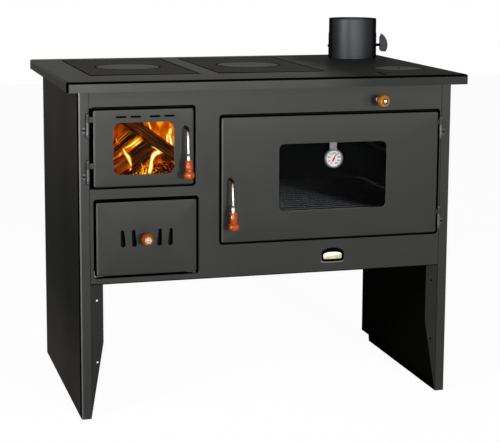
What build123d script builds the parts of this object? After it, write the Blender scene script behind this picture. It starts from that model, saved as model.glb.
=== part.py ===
"""A freestanding wood cookstove in folded sheet steel: firebox and ash drawer on the
left, glazed oven on the right, two hob plates with lids, and a flue collar with a
damper at the rear right. Millimetres; +Z up, -Y is the front, the origin lies on the
floor at the middle of the outline."""
import os
from math import atan2, cos, hypot, sin

from build123d import *

os.makedirs("parts", exist_ok=True)

# ---------------------------------------------------------------- driving sizes
sheet = 2.0              # folded body sheet
bend = 3.0               # outside radius of a fold
hob_bend = 5.0           # outside radius where the hob turns down
body_w = 940.0           # between the outer faces of the side sheets
body_d = 610.0           # front face to back face
body_bottom = 331.0      # lower edge of the front sheet, above the log space
hob_z = 820.0            # top surface above the floor
hob_t = 8.0              # hob top plate
rim_h = 25.0             # height of the hob's turned-down rim
rim_t = 3.0
over_side = 30.0         # hob overhang left and right
over_front = 36.0
over_rear = 34.0
hob_corner = 6.0

fold_w = 24.0            # front and rear flange of a side sheet
tab_w = 31.0             # screw tab beyond the joggled flange
leg_taper_z = 188.0      # the tab tapers from here down to the foot
foot_flange_l = 490.0    # inner edge of the foot flange
foot_mitre = 65.0        # its slanted rear end
seam = 1.2               # dark joint between flange and front sheet
hole_r = 2.5
tab_hole_z = 139.5
tab_hole_pitch = 152.5

door_gap = 4.0           # round a closed door
door_proud = 3.0         # door face in front of the front sheet
door_rear = 10.0         # a door tray's open edge, behind the front sheet
seat_y = 18.3            # stop frame that the rope seal meets
seal_t = 6.0
seal_w = 8.0
seal_inset = 2.0         # seal inside the door's outline
mouth_inset = 11.0       # stop frame's inner edge inside the door's outline
box_front = 2 * sheet    # the inner boxes start behind the screw tabs
opening_r = 8.0
run = 0.08               # radial running clearance of shafts and hinge pins
free = 0.3               # clearance between parts that move past each other

fire_w, fire_h = 243.5, 185.0
fire_left, fire_low = 33.5, 566.0        # door edge from the left face, and above the floor
fire_glass_w, fire_glass_h, fire_glass_r = 147.5, 125.5, 18.0
fire_glass_left, fire_glass_low = 81.5, 594.0
air_slot_w, air_slot_h, air_slot_z = 25.5, 4.8, 732.7
air_slot_x = (100.9, 136.2, 182.5, 217.5)

ash_w, ash_h = 245.5, 180.0
ash_left, ash_low = 38.5, 351.0
ash_gap = 5.0
tear_h, tear_top_r, tear_low_r = 42.0, 4.2, 6.0
tear_z = 440.5
tear_x = (30.5, 57.5)                    # from the drawer's middle
ash_knob_out, ash_knob_off = 40.0, 3.5   # in front of the sheet, and left of the middle

oven_w, oven_h = 561.5, 308.0
oven_left, oven_low = 345.0, 417.5
oven_glass_w, oven_glass_h, oven_glass_r = 280.0, 167.0, 14.0
oven_glass_left, oven_glass_low = 489.5, 489.0
glass_t = 4.0
glass_lap = 9.0          # glass edge beyond its window
gasket_t = 2.0

hinge_out = 7.0          # hinge axis in front of the front sheet
hinge_r = 4.0
hinge_pin_r = 2.5
hinge_l = 51.5           # between the centres of the pin's balls
ear_h, ear_drop = 13.0, 4.5
fire_hinge_x, oven_hinge_x = 20.5, 911.5
fire_ear_l, oven_ear_l = 16.0, 9.0
leaf_w, leaf_h, leaf_up = 12.0, 14.0, 8.0     # up from the lower ball
leaf_screw_r = 2.6
fire_hinge_z = (739.5, 629.5)
oven_hinge_z = (709.8, 482.5)

rod_r = 3.5              # door handle rod
rod_out = 26.0           # its bend in front of the front sheet
rod_bend = 11.0
handle_drop = 121.0      # spindle to the grip's end
handle_lean = 12.0       # the lower end stands further out
grip_l = 45.5
ferrule_l, ferrule_r = 16.0, 6.0
grip_collar_r, grip_neck_r, grip_bulb_r = 10.3, 8.8, 13.5
fire_spindle = (257.0, 704.0)
oven_spindle = (367.5, 573.5)
cam_t, cam_r = 4.0, 6.5
cam_tongue, cam_tail = 7.0, 20.0

knob_r, knob_out, knob_neck_r = 15.0, 51.0, 6.0
knob_cap_r = 8.5
bypass_x, bypass_z = 746.0, 759.0
bypass_rod_r = 4.0
bypass_rod_l = 455.0     # front sheet to the smoke baffle
bypass_plate_w, bypass_plate_h, bypass_plate_t = 100.0, 80.0, 3.0
guide_y = 240.0

plate_w, plate_d, plate_t = 275.0, 467.0, 4.0
plate_left_x, plate_right_x, plate_mid_y = 186.0, 509.0, 352.0
plate_ledge, plate_gap = 8.0, 0.6
lid_r, lid_ledge = 85.0, 7.0
slit_x, slit_y, slit_l, slit_w = 766.0, 32.0, 58.0, 3.0

cover_x, cover_y, cover_r, cover_t = 858.6, 155.0, 62.5, 3.0
cover_port_r = 50.0
dot_x, dot_y, dot_r = 916.0, 122.0, 2.5

flue_x, flue_y, flue_r, flue_wall, flue_h = 866.0, 532.0, 66.5, 2.0, 110.0
spigot_l, spigot_step = 40.0, 1.0         # the stove pipe slips over the narrower end
flue_flange_r, flue_flange_t = 70.0, 3.0
damper_z, damper_gap, damper_t = 854.0, 1.75, 2.0
spindle_r, wing_t = 4.0, 3.0

oven_depth = 540.0
baffle_y = 455.0
firebox_x = (18.0, 296.0)                # outer faces of firebox and ash housing
firebox_rear = 562.0
firebox_floor = 545.0
firebox_top = 808.0
firebox_low_side = 735.0                 # smoke spills over this edge to the oven
brick_t, brick_l, brick_gap = 30.0, 165.0, 1.5
brick_front = 45.0       # the side bricks start here, clear of the latch cam
grate_w, grate_l, grate_t = 144.0, 360.0, 14.0
grate_x, grate_y = 157.0, 290.0
grate_slot_w, grate_slot_l, grate_pitch = 9.0, 150.0, 16.0
pan_h, pan_rear, pan_side = 123.0, 520.0, 0.5
shelf_z = 347.0
rack_z, rack_frame_r, rack_wire_r, rack_wires = 480.0, 3.0, 2.0, 15
dial_x, dial_z, dial_r, dial_rim = 630.0, 616.0, 23.4, 2.8
dial_front = 9.0
dial_tab_w = 18.0
pointer_r, pointer_turn = 0.8, 28.0       # spindle; degrees clockwise of upright
plate_badge = (601.8, 662.3, 357.0, 381.0)
badge_arch = 10.0
screw_r, screw_h = 3.5, 2.2

# ---------------------------------------------------------------- places worked out
left, right = -body_w / 2, body_w / 2
front = (knob_out - body_d - over_rear) / 2      # Y of the front sheet's face
back = front + body_d
body_top = hob_under = hob_z - hob_t
plate_low_t = hob_t - plate_t            # the hob plates end flush with its underside
panel_x0, panel_x1 = left + fold_w + seam, right - fold_w - seam
door_face = front - door_proud
inner_face = door_face + sheet
liner_y = front + door_rear
seal_y = liner_y + sheet
floor_z = body_bottom + 2 * sheet
fire = (left + fire_left, left + fire_left + fire_w, fire_low, fire_low + fire_h)
ash = (left + ash_left, left + ash_left + ash_w, ash_low, ash_low + ash_h)
oven = (left + oven_left, left + oven_left + oven_w, oven_low, oven_low + oven_h)


# ---------------------------------------------------------------- helpers
def facing(y):
    """Upright plane at depth y, seen from the front: X to the right, Z up."""
    return Plane.XZ.offset(-y)


def grown(edges, by):
    """The outline (x0, x1, z0, z1) with every side moved out by a distance."""
    return (edges[0] - by, edges[1] + by, edges[2] - by, edges[3] + by)


def rect(x0, x1, y0, y1, radius=0.0, mode=Mode.ADD):
    """Rectangle between two corners of the current sketch, its corners rounded."""
    with Locations(((x0 + x1) / 2, (y0 + y1) / 2)):
        if radius:
            RectangleRounded(x1 - x0, y1 - y0, radius, mode=mode)
        else:
            Rectangle(x1 - x0, y1 - y0, mode=mode)


def keep(part, name):
    """Label a finished piece and write its file."""
    part.part.label = name
    export_step(part.part, f"parts/{name}.step")


# ================================================================ body sheets
def folded_side(gaps):
    """Left side sheet: web, front flange with its joggled screw tab, rear flange, top
    flange and foot flange; the tab is cut away beside the openings in gaps."""
    tab_end = left + fold_w + tab_w
    with BuildPart() as side:
        with BuildSketch() as profile:
            with BuildLine():
                Polyline(
                    (left + fold_w, back), (left, back), (left, front),
                    (left + fold_w, front), (left + fold_w, front + sheet),
                    (tab_end, front + sheet), (tab_end, front + 2 * sheet),
                    (left + fold_w - sheet, front + 2 * sheet),
                    (left + fold_w - sheet, front + sheet), (left + sheet, front + sheet),
                    (left + sheet, back - sheet), (left + fold_w, back - sheet), close=True)
            make_face()
            outer = profile.vertices().group_by(Axis.X)[0]
            inner = profile.vertices().group_by(Axis.X)[1]
            fillet(outer, radius=bend)
            fillet(inner, radius=bend - sheet)
        extrude(amount=body_top)
        with BuildSketch(facing(front + sheet)):
            for low, high in gaps:
                rect(left + fold_w, tab_end + 1, low, high)
            rect(left + fold_w, tab_end + 1, body_top - sheet, body_top + 1)
            with BuildLine():
                Polyline((left + fold_w, -1), (tab_end + 1, -1), (tab_end + 1, leg_taper_z),
                         (tab_end, leg_taper_z), (left + fold_w, 0), close=True)
            make_face()
            with Locations((left + 40, tab_hole_z), (left + 40, tab_hole_z + tab_hole_pitch)):
                Circle(hole_r)
        extrude(amount=-sheet, mode=Mode.SUBTRACT)
        with BuildSketch(facing(back - sheet)):
            rect(left + sheet, left + fold_w + 1, -1, body_bottom)
        extrude(amount=-sheet - 1, mode=Mode.SUBTRACT)
        with BuildSketch(Plane.XY):
            with BuildLine():
                Polyline((left + sheet / 2, front + sheet / 2), (left + fold_w, front + sheet / 2),
                         (left + fold_w, front + foot_flange_l),
                         (left + sheet / 2, front + foot_flange_l + foot_mitre), close=True)
            make_face()
        extrude(amount=sheet)
        with BuildSketch(Plane.XY.offset(body_top - sheet)):
            rect(left + sheet / 2, left + fold_w - sheet, front + sheet / 2, back - sheet / 2)
        extrude(amount=sheet)
    return side.part


def tab_gap(edges, gap):
    """Stretch of a screw tab that an opening beside it needs free."""
    return (edges[2] - gap - sheet, edges[3] + gap + sheet)


left_blank = folded_side([tab_gap(fire, door_gap), tab_gap(ash, ash_gap)])
with BuildPart() as side_panel_left:
    add(left_blank)
keep(side_panel_left, "side_panel_left")

right_blank = folded_side([tab_gap(oven, door_gap)])
with BuildPart() as side_panel_right:
    mirror(right_blank, about=Plane.YZ)
    with BuildSketch(Plane.XY.offset(body_top)):
        with Locations((left + flue_x, front + flue_y)):
            Circle(flue_flange_r + 1)
    extrude(amount=-2 * sheet, mode=Mode.SUBTRACT)
keep(side_panel_right, "side_panel_right")

# Front sheet: three openings and the pull rod's hole, returns along top and bottom.
with BuildPart() as front_panel:
    with BuildSketch(facing(front)):
        rect(panel_x0, panel_x1, body_bottom, body_top)
        fire_cut = grown(fire, door_gap)
        rect(left, fire_cut[1], fire_cut[2], fire_cut[3], opening_r, Mode.SUBTRACT)
        rect(*grown(ash, ash_gap), opening_r, Mode.SUBTRACT)
        rect(*grown(oven, door_gap), opening_r, Mode.SUBTRACT)
        with Locations((left + bypass_x, bypass_z)):
            Circle(bypass_rod_r + run, mode=Mode.SUBTRACT)
    extrude(amount=-sheet)
    return_x = fold_w + tab_w + sheet
    with BuildSketch(facing(front + sheet)):
        rect(left + return_x, right - return_x, body_bottom, body_bottom + sheet)
        rect(left + return_x, right - return_x, body_top - sheet, body_top)
    extrude(amount=-9 * sheet)
keep(front_panel, "front_panel")

# Back sheet with two rows of vent slots, inside the side sheets' rear flanges.
with BuildPart() as back_panel:
    with BuildSketch(facing(back - 2 * sheet)):
        rect(left + sheet + free, right - sheet - free, body_bottom, body_top - sheet)
        for row_z in (body_bottom + 60, body_top - 60):
            with Locations((0, row_z)):
                with GridLocations(90, 1, 8, 1):
                    SlotOverall(60, 8, mode=Mode.SUBTRACT)
    extrude(amount=-sheet)
keep(back_panel, "back_panel")

# Bottom sheet: a shallow tray between the side sheets, on the front sheet's return.
with BuildPart() as bottom_panel:
    with BuildSketch(Plane.XY.offset(body_bottom + sheet)):
        rect(left + sheet + free, right - sheet - free, front + box_front, back - 2 * sheet)
    extrude(amount=20)
    tray_top = faces().sort_by(Axis.Z)[-1]
    tray_front = faces().sort_by(Axis.Y)[0]
    offset(amount=-sheet, openings=[tray_top, tray_front])
keep(bottom_panel, "bottom_panel")

# ================================================================ hob
hob_w = body_w + 2 * over_side
hob_d = body_d + over_front + over_rear
hob_mid_y = front - over_front + hob_d / 2
plates = {"left": left + plate_left_x, "right": left + plate_right_x}

with BuildPart() as hob_top:
    with BuildSketch(Plane.XY.offset(hob_under)):
        with Locations((0, hob_mid_y)):
            RectangleRounded(hob_w, hob_d, hob_corner)
    extrude(amount=hob_t)
    with BuildSketch(Plane.XY.offset(hob_z - rim_h)):
        with Locations((0, hob_mid_y)):
            RectangleRounded(hob_w, hob_d, hob_corner)
            RectangleRounded(hob_w - 2 * rim_t, hob_d - 2 * rim_t, hob_corner - rim_t,
                             mode=Mode.SUBTRACT)
    extrude(amount=rim_h - hob_t)
    fillet(faces().sort_by(Axis.Z)[-1].edges(), radius=hob_bend)
    plate_spots = [(x, front + plate_mid_y) for x in plates.values()]
    with BuildSketch(Plane.XY.offset(hob_z - plate_t)):
        with Locations(*plate_spots):
            RectangleRounded(plate_w + 2 * plate_gap, plate_d + 2 * plate_gap, 4)
        with Locations((left + slit_x, front + slit_y)):
            SlotOverall(slit_l, slit_w, rotation=90)
    extrude(amount=plate_t, mode=Mode.SUBTRACT)
    with BuildSketch(Plane.XY.offset(hob_z - cover_t)):
        with Locations((left + cover_x, front + cover_y)):
            Circle(cover_r + plate_gap)
    extrude(amount=cover_t, mode=Mode.SUBTRACT)
    with BuildSketch(Plane.XY.offset(hob_under)):
        with Locations(*plate_spots):
            Rectangle(plate_w - 2 * plate_ledge, plate_d - 2 * plate_ledge)
        with Locations((left + cover_x, front + cover_y)):
            Circle(cover_port_r)
        with Locations((left + flue_x, front + flue_y)):
            Circle(flue_r + spigot_step + run)
    extrude(amount=hob_t, mode=Mode.SUBTRACT)
keep(hob_top, "hob_top")

for side, x in plates.items():
    with BuildPart() as hob_plate:
        with BuildSketch(Plane.XY.offset(hob_z - plate_t)):
            with Locations((x, front + plate_mid_y)):
                RectangleRounded(plate_w, plate_d, 4)
        extrude(amount=plate_t)
        low_gap = 2 * (plate_ledge + plate_gap)
        with BuildSketch(Plane.XY.offset(hob_z - plate_t - plate_low_t)):
            with Locations((x, front + plate_mid_y)):
                RectangleRounded(plate_w - low_gap, plate_d - low_gap, 4)
        extrude(amount=plate_low_t)
        chamfer(faces().sort_by(Axis.Z)[-1].edges(), length=0.8)
        with BuildSketch(Plane.XY.offset(hob_z)):
            with Locations((x, front + plate_mid_y)):
                Circle(lid_r + plate_gap)
        extrude(amount=-plate_t, mode=Mode.SUBTRACT)
        with BuildSketch(Plane.XY.offset(hob_z)):
            with Locations((x, front + plate_mid_y)):
                Circle(lid_r - lid_ledge)
        extrude(amount=-plate_t - plate_low_t, mode=Mode.SUBTRACT)
    keep(hob_plate, f"hob_plate_{side}")
    with BuildPart() as hob_lid:
        lid_low_r = lid_r - lid_ledge - plate_gap
        with BuildSketch(facing(front + plate_mid_y)):
            with BuildLine():
                Polyline((x, hob_z), (x + lid_r - 0.8, hob_z), (x + lid_r, hob_z - 0.8),
                         (x + lid_r, hob_z - plate_t), (x + lid_low_r, hob_z - plate_t),
                         (x + lid_low_r, hob_under), (x, hob_under),
                         close=True)
            make_face()
        revolve(axis=Axis((x, front + plate_mid_y, 0), (0, 0, 1)))
    keep(hob_lid, f"hob_lid_{side}")

with BuildPart() as soot_cover:
    with BuildSketch(Plane.XY.offset(hob_z - cover_t)):
        with Locations((left + cover_x, front + cover_y)):
            Circle(cover_r)
    extrude(amount=cover_t + 0.6)
    chamfer(faces().sort_by(Axis.Z)[-1].edges(), length=0.6)
keep(soot_cover, "soot_cover")

# ================================================================ flue
flue_axis = Axis((left + flue_x, front + flue_y, 0), (0, 0, 1))
with BuildPart() as flue_collar:
    with BuildSketch(facing(front + flue_y)):
        inner_x, outer_x = left + flue_x + flue_r - flue_wall, left + flue_x + flue_r
        rect(inner_x, outer_x, hob_under, hob_z + flue_h)
        rect(inner_x, outer_x + spigot_step, hob_under, hob_z + flue_h - spigot_l)
        rect(inner_x, left + flue_x + flue_flange_r, hob_under - flue_flange_t, hob_under)
    revolve(axis=flue_axis)
    with BuildSketch(Plane.YZ.offset(left + flue_x - 2 * flue_r)):
        with Locations((front + flue_y, damper_z)):
            Circle(spindle_r + run)
    extrude(amount=4 * flue_r, mode=Mode.SUBTRACT)
keep(flue_collar, "flue_collar")

# Damper: disc, cross spindle and a leaf-shaped wing handle, turned open (upright).
with BuildPart() as flue_damper:
    with BuildSketch(facing(front + flue_y - damper_t / 2)):
        with Locations((left + flue_x, damper_z)):
            Circle(flue_r - flue_wall - damper_gap)
    extrude(amount=-damper_t)
    with BuildSketch(Plane.YZ.offset(left + flue_x - flue_r - 6)):
        with Locations((front + flue_y, damper_z)):
            Circle(spindle_r)
    extrude(amount=2 * flue_r + 22)
    wing_x = left + flue_x + flue_r + 15
    with BuildSketch(facing(front + flue_y - wing_t / 2)):
        with BuildLine():
            Spline((wing_x + 5, damper_z + 32.5), (wing_x + 18.5, damper_z + 19),
                   (wing_x + 24.5, damper_z - 2), (wing_x + 19, damper_z - 19.5))
            Polyline((wing_x + 19, damper_z - 19.5), (wing_x + 6, damper_z - 19),
                     (wing_x, damper_z - 13), (wing_x, damper_z + 22), (wing_x + 5, damper_z + 32.5))
        make_face()
    extrude(amount=-wing_t)
keep(flue_damper, "flue_damper")

# ================================================================ firebox and ash housing
fb_x0, fb_x1 = left + firebox_x[0], left + firebox_x[1]
fb_back = front + firebox_rear
with BuildPart() as firebox_shell:
    with BuildSketch(Plane.XY.offset(firebox_floor)):
        rect(fb_x0, fb_x1, front + seat_y, fb_back)
    extrude(amount=firebox_top - firebox_floor)
    offset(amount=-sheet, openings=faces().sort_by(Axis.Z)[-1])
    with BuildSketch(facing(front + seat_y)):
        rect(*grown(fire, -mouth_inset))
    extrude(amount=-sheet, mode=Mode.SUBTRACT)
    # collar from the front sheet's opening back to the stop frame
    with BuildSketch(facing(front + box_front)):
        collar = grown(fire, door_gap + 1)
        rect(left + fold_w - sheet, collar[1] + sheet, collar[2] - sheet, collar[3] + sheet)
        rect(left + fold_w, collar[1], collar[2], collar[3], mode=Mode.SUBTRACT)
    extrude(amount=-(seat_y - box_front))
    # the side next to the oven is low, so that the smoke crosses over the oven
    with BuildSketch(Plane.YZ.offset(fb_x1 - sheet)):
        rect(front + seat_y + sheet, front + baffle_y, firebox_low_side, firebox_top)
    extrude(amount=sheet, mode=Mode.SUBTRACT)
    with BuildSketch(Plane.XY.offset(firebox_floor)):
        with Locations((left + grate_x, front + grate_y)):
            Rectangle(grate_w - 40, grate_l - 40)
    extrude(amount=sheet, mode=Mode.SUBTRACT)
keep(firebox_shell, "firebox_shell")

brick_z0, brick_z1 = firebox_floor + sheet, firebox_low_side
with BuildPart() as firebricks:
    brick_y0 = front + brick_front
    step = brick_l + brick_gap
    with BuildSketch(Plane.XY.offset(brick_z0)):
        for n in range(3):
            for x0 in (fb_x0 + sheet, fb_x1 - sheet - brick_t):
                rect(x0, x0 + brick_t, brick_y0 + n * step, brick_y0 + n * step + brick_l)
        rear_x0 = fb_x0 + sheet + brick_t + brick_gap
        rear_w = (fb_x1 - fb_x0 - 2 * sheet - 2 * brick_t - 3 * brick_gap) / 2
        for n in range(2):
            x0 = rear_x0 + n * (rear_w + brick_gap)
            rect(x0, x0 + rear_w, fb_back - sheet - brick_t, fb_back - sheet)
    extrude(amount=brick_z1 - brick_z0)
    chamfer(faces().group_by(Axis.Z)[-1].edges(), length=3)
keep(firebricks, "firebricks")

with BuildPart() as grate:
    with BuildSketch(Plane.XY.offset(firebox_floor + sheet)):
        with Locations((left + grate_x, front + grate_y)):
            RectangleRounded(grate_w, grate_l, 6)
            with GridLocations(grate_pitch, grate_l / 2 - 6, int(grate_w / grate_pitch) - 1, 2):
                SlotOverall(grate_slot_l, grate_slot_w, rotation=90, mode=Mode.SUBTRACT)
    extrude(amount=grate_t)
keep(grate, "grate")

with BuildPart() as ash_housing:
    with BuildSketch(Plane.XY.offset(floor_z)):
        rect(fb_x0, fb_x1, front + box_front, fb_back)
    extrude(amount=firebox_floor - floor_z)
    housing_top = faces().sort_by(Axis.Z)[-1]
    housing_front = faces().sort_by(Axis.Y)[0]
    offset(amount=-sheet, openings=[housing_top, housing_front])
keep(ash_housing, "ash_housing")

# Runners: a foot, a shelf that the pan slides on, and a fence beside it.
pan_x0, pan_x1 = ash[0] + pan_side, ash[1] - pan_side
with BuildPart() as drawer_runners:
    with BuildSketch(facing(front + seat_y + 4)) as rail:
        fence = pan_x0 - 1
        rect(fb_x0 + sheet, fence, floor_z + sheet, floor_z + 2 * sheet)
        rect(fence - sheet, fence, floor_z + sheet, shelf_z + 12)
        rect(fence - sheet, fence + 20, shelf_z - sheet, shelf_z)
    with BuildSketch(facing(front + seat_y + 4)) as other_rail:
        fence = pan_x1 + 1
        rect(fence, fb_x1 - sheet, floor_z + sheet, floor_z + 2 * sheet)
        rect(fence, fence + sheet, floor_z + sheet, shelf_z + 12)
        rect(fence - 20, fence + sheet, shelf_z - sheet, shelf_z)
    extrude(amount=-(pan_rear - seat_y))
keep(drawer_runners, "drawer_runners")

# ================================================================ oven
# Box with a stop frame and collar at its mouth, standing on two folded feet.
mouth = grown(oven, -mouth_inset)
cavity = grown(mouth, sheet)
with BuildPart() as oven_box:
    with BuildSketch(facing(front + seat_y)):
        rect(*cavity)
    extrude(amount=-(oven_depth - seat_y))
    offset(amount=-sheet, openings=faces().sort_by(Axis.Y)[0])
    with BuildSketch(facing(front + box_front)):
        oven_collar = grown(oven, door_gap + 1)
        rect(*grown(oven_collar, sheet))
        rect(*oven_collar, mode=Mode.SUBTRACT)
    extrude(amount=-(seat_y - box_front))
    with BuildSketch(facing(front + seat_y)):
        rect(*grown(oven_collar, sheet))
        rect(*mouth, mode=Mode.SUBTRACT)
    extrude(amount=-sheet)
    with BuildSketch(facing(front + seat_y + 40)):
        for foot_x in (cavity[0] + 60, cavity[1] - 60):
            rect(foot_x, foot_x + sheet, floor_z, cavity[2])
            rect(foot_x, foot_x + 20, floor_z, floor_z + sheet)
    extrude(amount=-(oven_depth - seat_y - 80))
keep(oven_box, "oven_box")

with BuildPart() as rack_runners:
    with BuildSketch(facing(front + seat_y + 20)):
        for shelf in (rack_z - rack_frame_r, rack_z + 110):
            rect(mouth[0], mouth[0] + 12, shelf - 1.5, shelf)
            rect(mouth[0], mouth[0] + 1.5, shelf - 12, shelf)
            rect(mouth[1] - 12, mouth[1], shelf - 1.5, shelf)
            rect(mouth[1] - 1.5, mouth[1], shelf - 12, shelf)
    extrude(amount=-440)
keep(rack_runners, "rack_runners")

# Wire rack: a bent frame with a front bar and cross wires, on the lower runners.
rack_x0, rack_x1 = mouth[0] + 2 * rack_frame_r, mouth[1] - 2 * rack_frame_r
rack_y0, rack_y1 = front + seat_y + 24, front + oven_depth - 40
with BuildPart() as oven_rack:
    with BuildLine() as rack_frame:
        FilletPolyline((rack_x0, rack_y0, rack_z), (rack_x0, rack_y1, rack_z),
                       (rack_x1, rack_y1, rack_z), (rack_x1, rack_y0, rack_z), radius=18)
    with BuildSketch(Plane((rack_x0, rack_y0, rack_z), x_dir=(1, 0, 0), z_dir=(0, 1, 0))):
        Circle(rack_frame_r)
    sweep(path=rack_frame.line)
    wire_step = (rack_y1 - rack_y0) / (rack_wires + 1)
    with BuildSketch(Plane.YZ.offset(rack_x0)):
        with Locations((rack_y0, rack_z)):
            Circle(rack_frame_r)
        for n in range(1, rack_wires + 1):
            with Locations((rack_y0 + n * wire_step, rack_z)):
                Circle(rack_wire_r)
    extrude(amount=rack_x1 - rack_x0)
keep(oven_rack, "oven_rack")

# Baffle behind the smoke crossing; the bypass plate covers its window.
over_oven = cavity[3]
with BuildPart() as smoke_baffle:
    with BuildSketch(facing(front + baffle_y)):
        rect(fb_x1 + free, right - sheet - free, over_oven, hob_under - flue_flange_t)
        bypass_mid = left + bypass_x
        rect(bypass_mid - bypass_plate_w / 2 + 10, bypass_mid + bypass_plate_w / 2 - 10,
             bypass_z - bypass_plate_h / 2 + 10, bypass_z + bypass_plate_h / 2 - 10,
             6, Mode.SUBTRACT)
    extrude(amount=-sheet)
    with BuildSketch(Plane.XY.offset(over_oven)):
        rect(fb_x1 + 60, right - 60, front + baffle_y, front + baffle_y + 15)
    extrude(amount=sheet)
keep(smoke_baffle, "smoke_baffle")

with BuildPart() as bypass_guide:
    with BuildSketch(Plane.YZ.offset(left + bypass_x - 12)):
        rect(front + guide_y, front + guide_y + 3, over_oven, bypass_z + 12)
        rect(front + guide_y, front + guide_y + 20, over_oven, over_oven + 3)
    extrude(amount=24)
    with BuildSketch(facing(front + guide_y)):
        with Locations((left + bypass_x, bypass_z)):
            Circle(bypass_rod_r + run)
    extrude(amount=-3, mode=Mode.SUBTRACT)
keep(bypass_guide, "bypass_guide")


# ================================================================ doors
def door_tray(edges, low_r=4.0):
    """Door skin folded as a tray: rounded front bends, open at the back."""
    with BuildPart() as tray:
        with BuildSketch(facing(door_face)):
            rect(*edges, low_r)
        extrude(amount=-(door_rear + door_proud))
        fillet(faces().sort_by(Axis.Y)[0].edges(), radius=bend)
        offset(amount=-sheet, openings=faces().sort_by(Axis.Y)[-1])
    return tray.part


def rope_seal(edges):
    """Rope seal in a closed loop behind the liner, rounded where it meets the frame."""
    outer = grown(edges, -seal_inset)
    with BuildPart() as seal:
        with BuildSketch(facing(seal_y)):
            rect(*outer, 10)
            rect(*grown(outer, -seal_w), 4, Mode.SUBTRACT)
        extrude(amount=-seal_t)
        fillet(faces().sort_by(Axis.Y)[-1].edges(), radius=2.5)
    return seal.part


def glass_clips(edges, front_y, rows):
    """Clips at both upright edges of a pane: a foot on the skin, a lip on the glass."""
    with BuildPart() as clips:
        for edge, way in ((edges[0], -1), (edges[1], 1)):
            for z in rows:
                near, far, lip = edge + way * free, edge + way * 11, edge - way * 7
                with BuildSketch(Plane.XY.offset(z - 8)):
                    rect(min(near, far), max(near, far), inner_face, front_y + glass_t + 1.5)
                    rect(min(lip, far), max(lip, far), front_y + glass_t,
                         front_y + glass_t + 1.5)
                extrude(amount=16)
    return clips.part


def pane(window, front_y):
    """Glass pane that laps its window all round."""
    with BuildPart() as glass:
        with BuildSketch(facing(front_y)):
            rect(*grown(window, glass_lap), 6)
        extrude(amount=-glass_t)
    return glass.part


def hinge_z(tops):
    """Centre of each hinge's upper ball, lower ball and the top of its fixed barrel."""
    return [(top, top - hinge_l, top - ear_drop - ear_h - free) for top in tops]


fire_window = (left + fire_glass_left, left + fire_glass_left + fire_glass_w,
               fire_glass_low, fire_glass_low + fire_glass_h)
fire_tray = door_tray(fire)
with BuildPart() as fire_door_skin:
    add(fire_tray)
    with BuildSketch(facing(door_face)):
        rect(*fire_window, fire_glass_r)
        with Locations(*[(left + x, air_slot_z) for x in air_slot_x]):
            SlotOverall(air_slot_w, air_slot_h)
        with Locations((left + fire_spindle[0], fire_spindle[1])):
            Circle(rod_r + run)
    extrude(amount=-sheet, mode=Mode.SUBTRACT)
keep(fire_door_skin, "fire_door_skin")

with BuildPart() as fire_door_liner:
    with BuildSketch(facing(liner_y)):
        rect(*grown(fire, -1), 3)
        rect(*grown(fire_window, glass_lap), 10, Mode.SUBTRACT)
        with Locations((left + fire_spindle[0], fire_spindle[1])):
            Circle(rod_r + run, mode=Mode.SUBTRACT)
    extrude(amount=-sheet)
keep(fire_door_liner, "fire_door_liner")

fire_pane = pane(fire_window, inner_face)
with BuildPart() as fire_door_glass:
    add(fire_pane)
keep(fire_door_glass, "fire_door_glass")

fire_rope = rope_seal(fire)
with BuildPart() as fire_door_seal:
    add(fire_rope)
keep(fire_door_seal, "fire_door_seal")

fire_clip_set = glass_clips(grown(fire_window, glass_lap), inner_face,
                            (fire_glass_low + 20, fire_glass_low + fire_glass_h - 20))
with BuildPart() as fire_glass_clips:
    add(fire_clip_set)
keep(fire_glass_clips, "fire_glass_clips")

oven_window = (left + oven_glass_left, left + oven_glass_left + oven_glass_w,
               oven_glass_low, oven_glass_low + oven_glass_h)
oven_pane_y = inner_face + gasket_t
dial_mid = (left + dial_x, dial_z)
oven_tray = door_tray(oven)
with BuildPart() as oven_door_skin:
    add(oven_tray)
    with BuildSketch(facing(door_face)):
        rect(*oven_window, oven_glass_r)
        with Locations((left + oven_spindle[0], oven_spindle[1])):
            Circle(rod_r + run)
    extrude(amount=-sheet, mode=Mode.SUBTRACT)
keep(oven_door_skin, "oven_door_skin")

with BuildPart() as oven_door_liner:
    with BuildSketch(facing(liner_y)):
        rect(*grown(oven, -1), 3)
        rect(*grown(oven_window, glass_lap), 10, Mode.SUBTRACT)
        with Locations((left + oven_spindle[0], oven_spindle[1])):
            Circle(rod_r + run, mode=Mode.SUBTRACT)
    extrude(amount=-sheet)
keep(oven_door_liner, "oven_door_liner")

with BuildPart() as oven_glass_gasket:
    with BuildSketch(facing(inner_face)):
        rect(*grown(oven_window, glass_lap), 6)
        rect(*grown(oven_window, 1), oven_glass_r, Mode.SUBTRACT)
        rect(dial_mid[0] - dial_tab_w / 2 - 1, dial_mid[0] + dial_tab_w / 2 + 1,
             oven_window[3], oven_window[3] + glass_lap + 1, mode=Mode.SUBTRACT)
    extrude(amount=-gasket_t)
keep(oven_glass_gasket, "oven_glass_gasket")

oven_pane = pane(oven_window, oven_pane_y)
with BuildPart() as oven_door_glass:
    add(oven_pane)
keep(oven_door_glass, "oven_door_glass")

oven_rope = rope_seal(oven)
with BuildPart() as oven_door_seal:
    add(oven_rope)
keep(oven_door_seal, "oven_door_seal")

oven_clip_set = glass_clips(grown(oven_window, glass_lap), oven_pane_y,
                            (oven_glass_low + 25, oven_glass_low + oven_glass_h - 25))
with BuildPart() as oven_glass_clips:
    add(oven_clip_set)
keep(oven_glass_clips, "oven_glass_clips")

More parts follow.
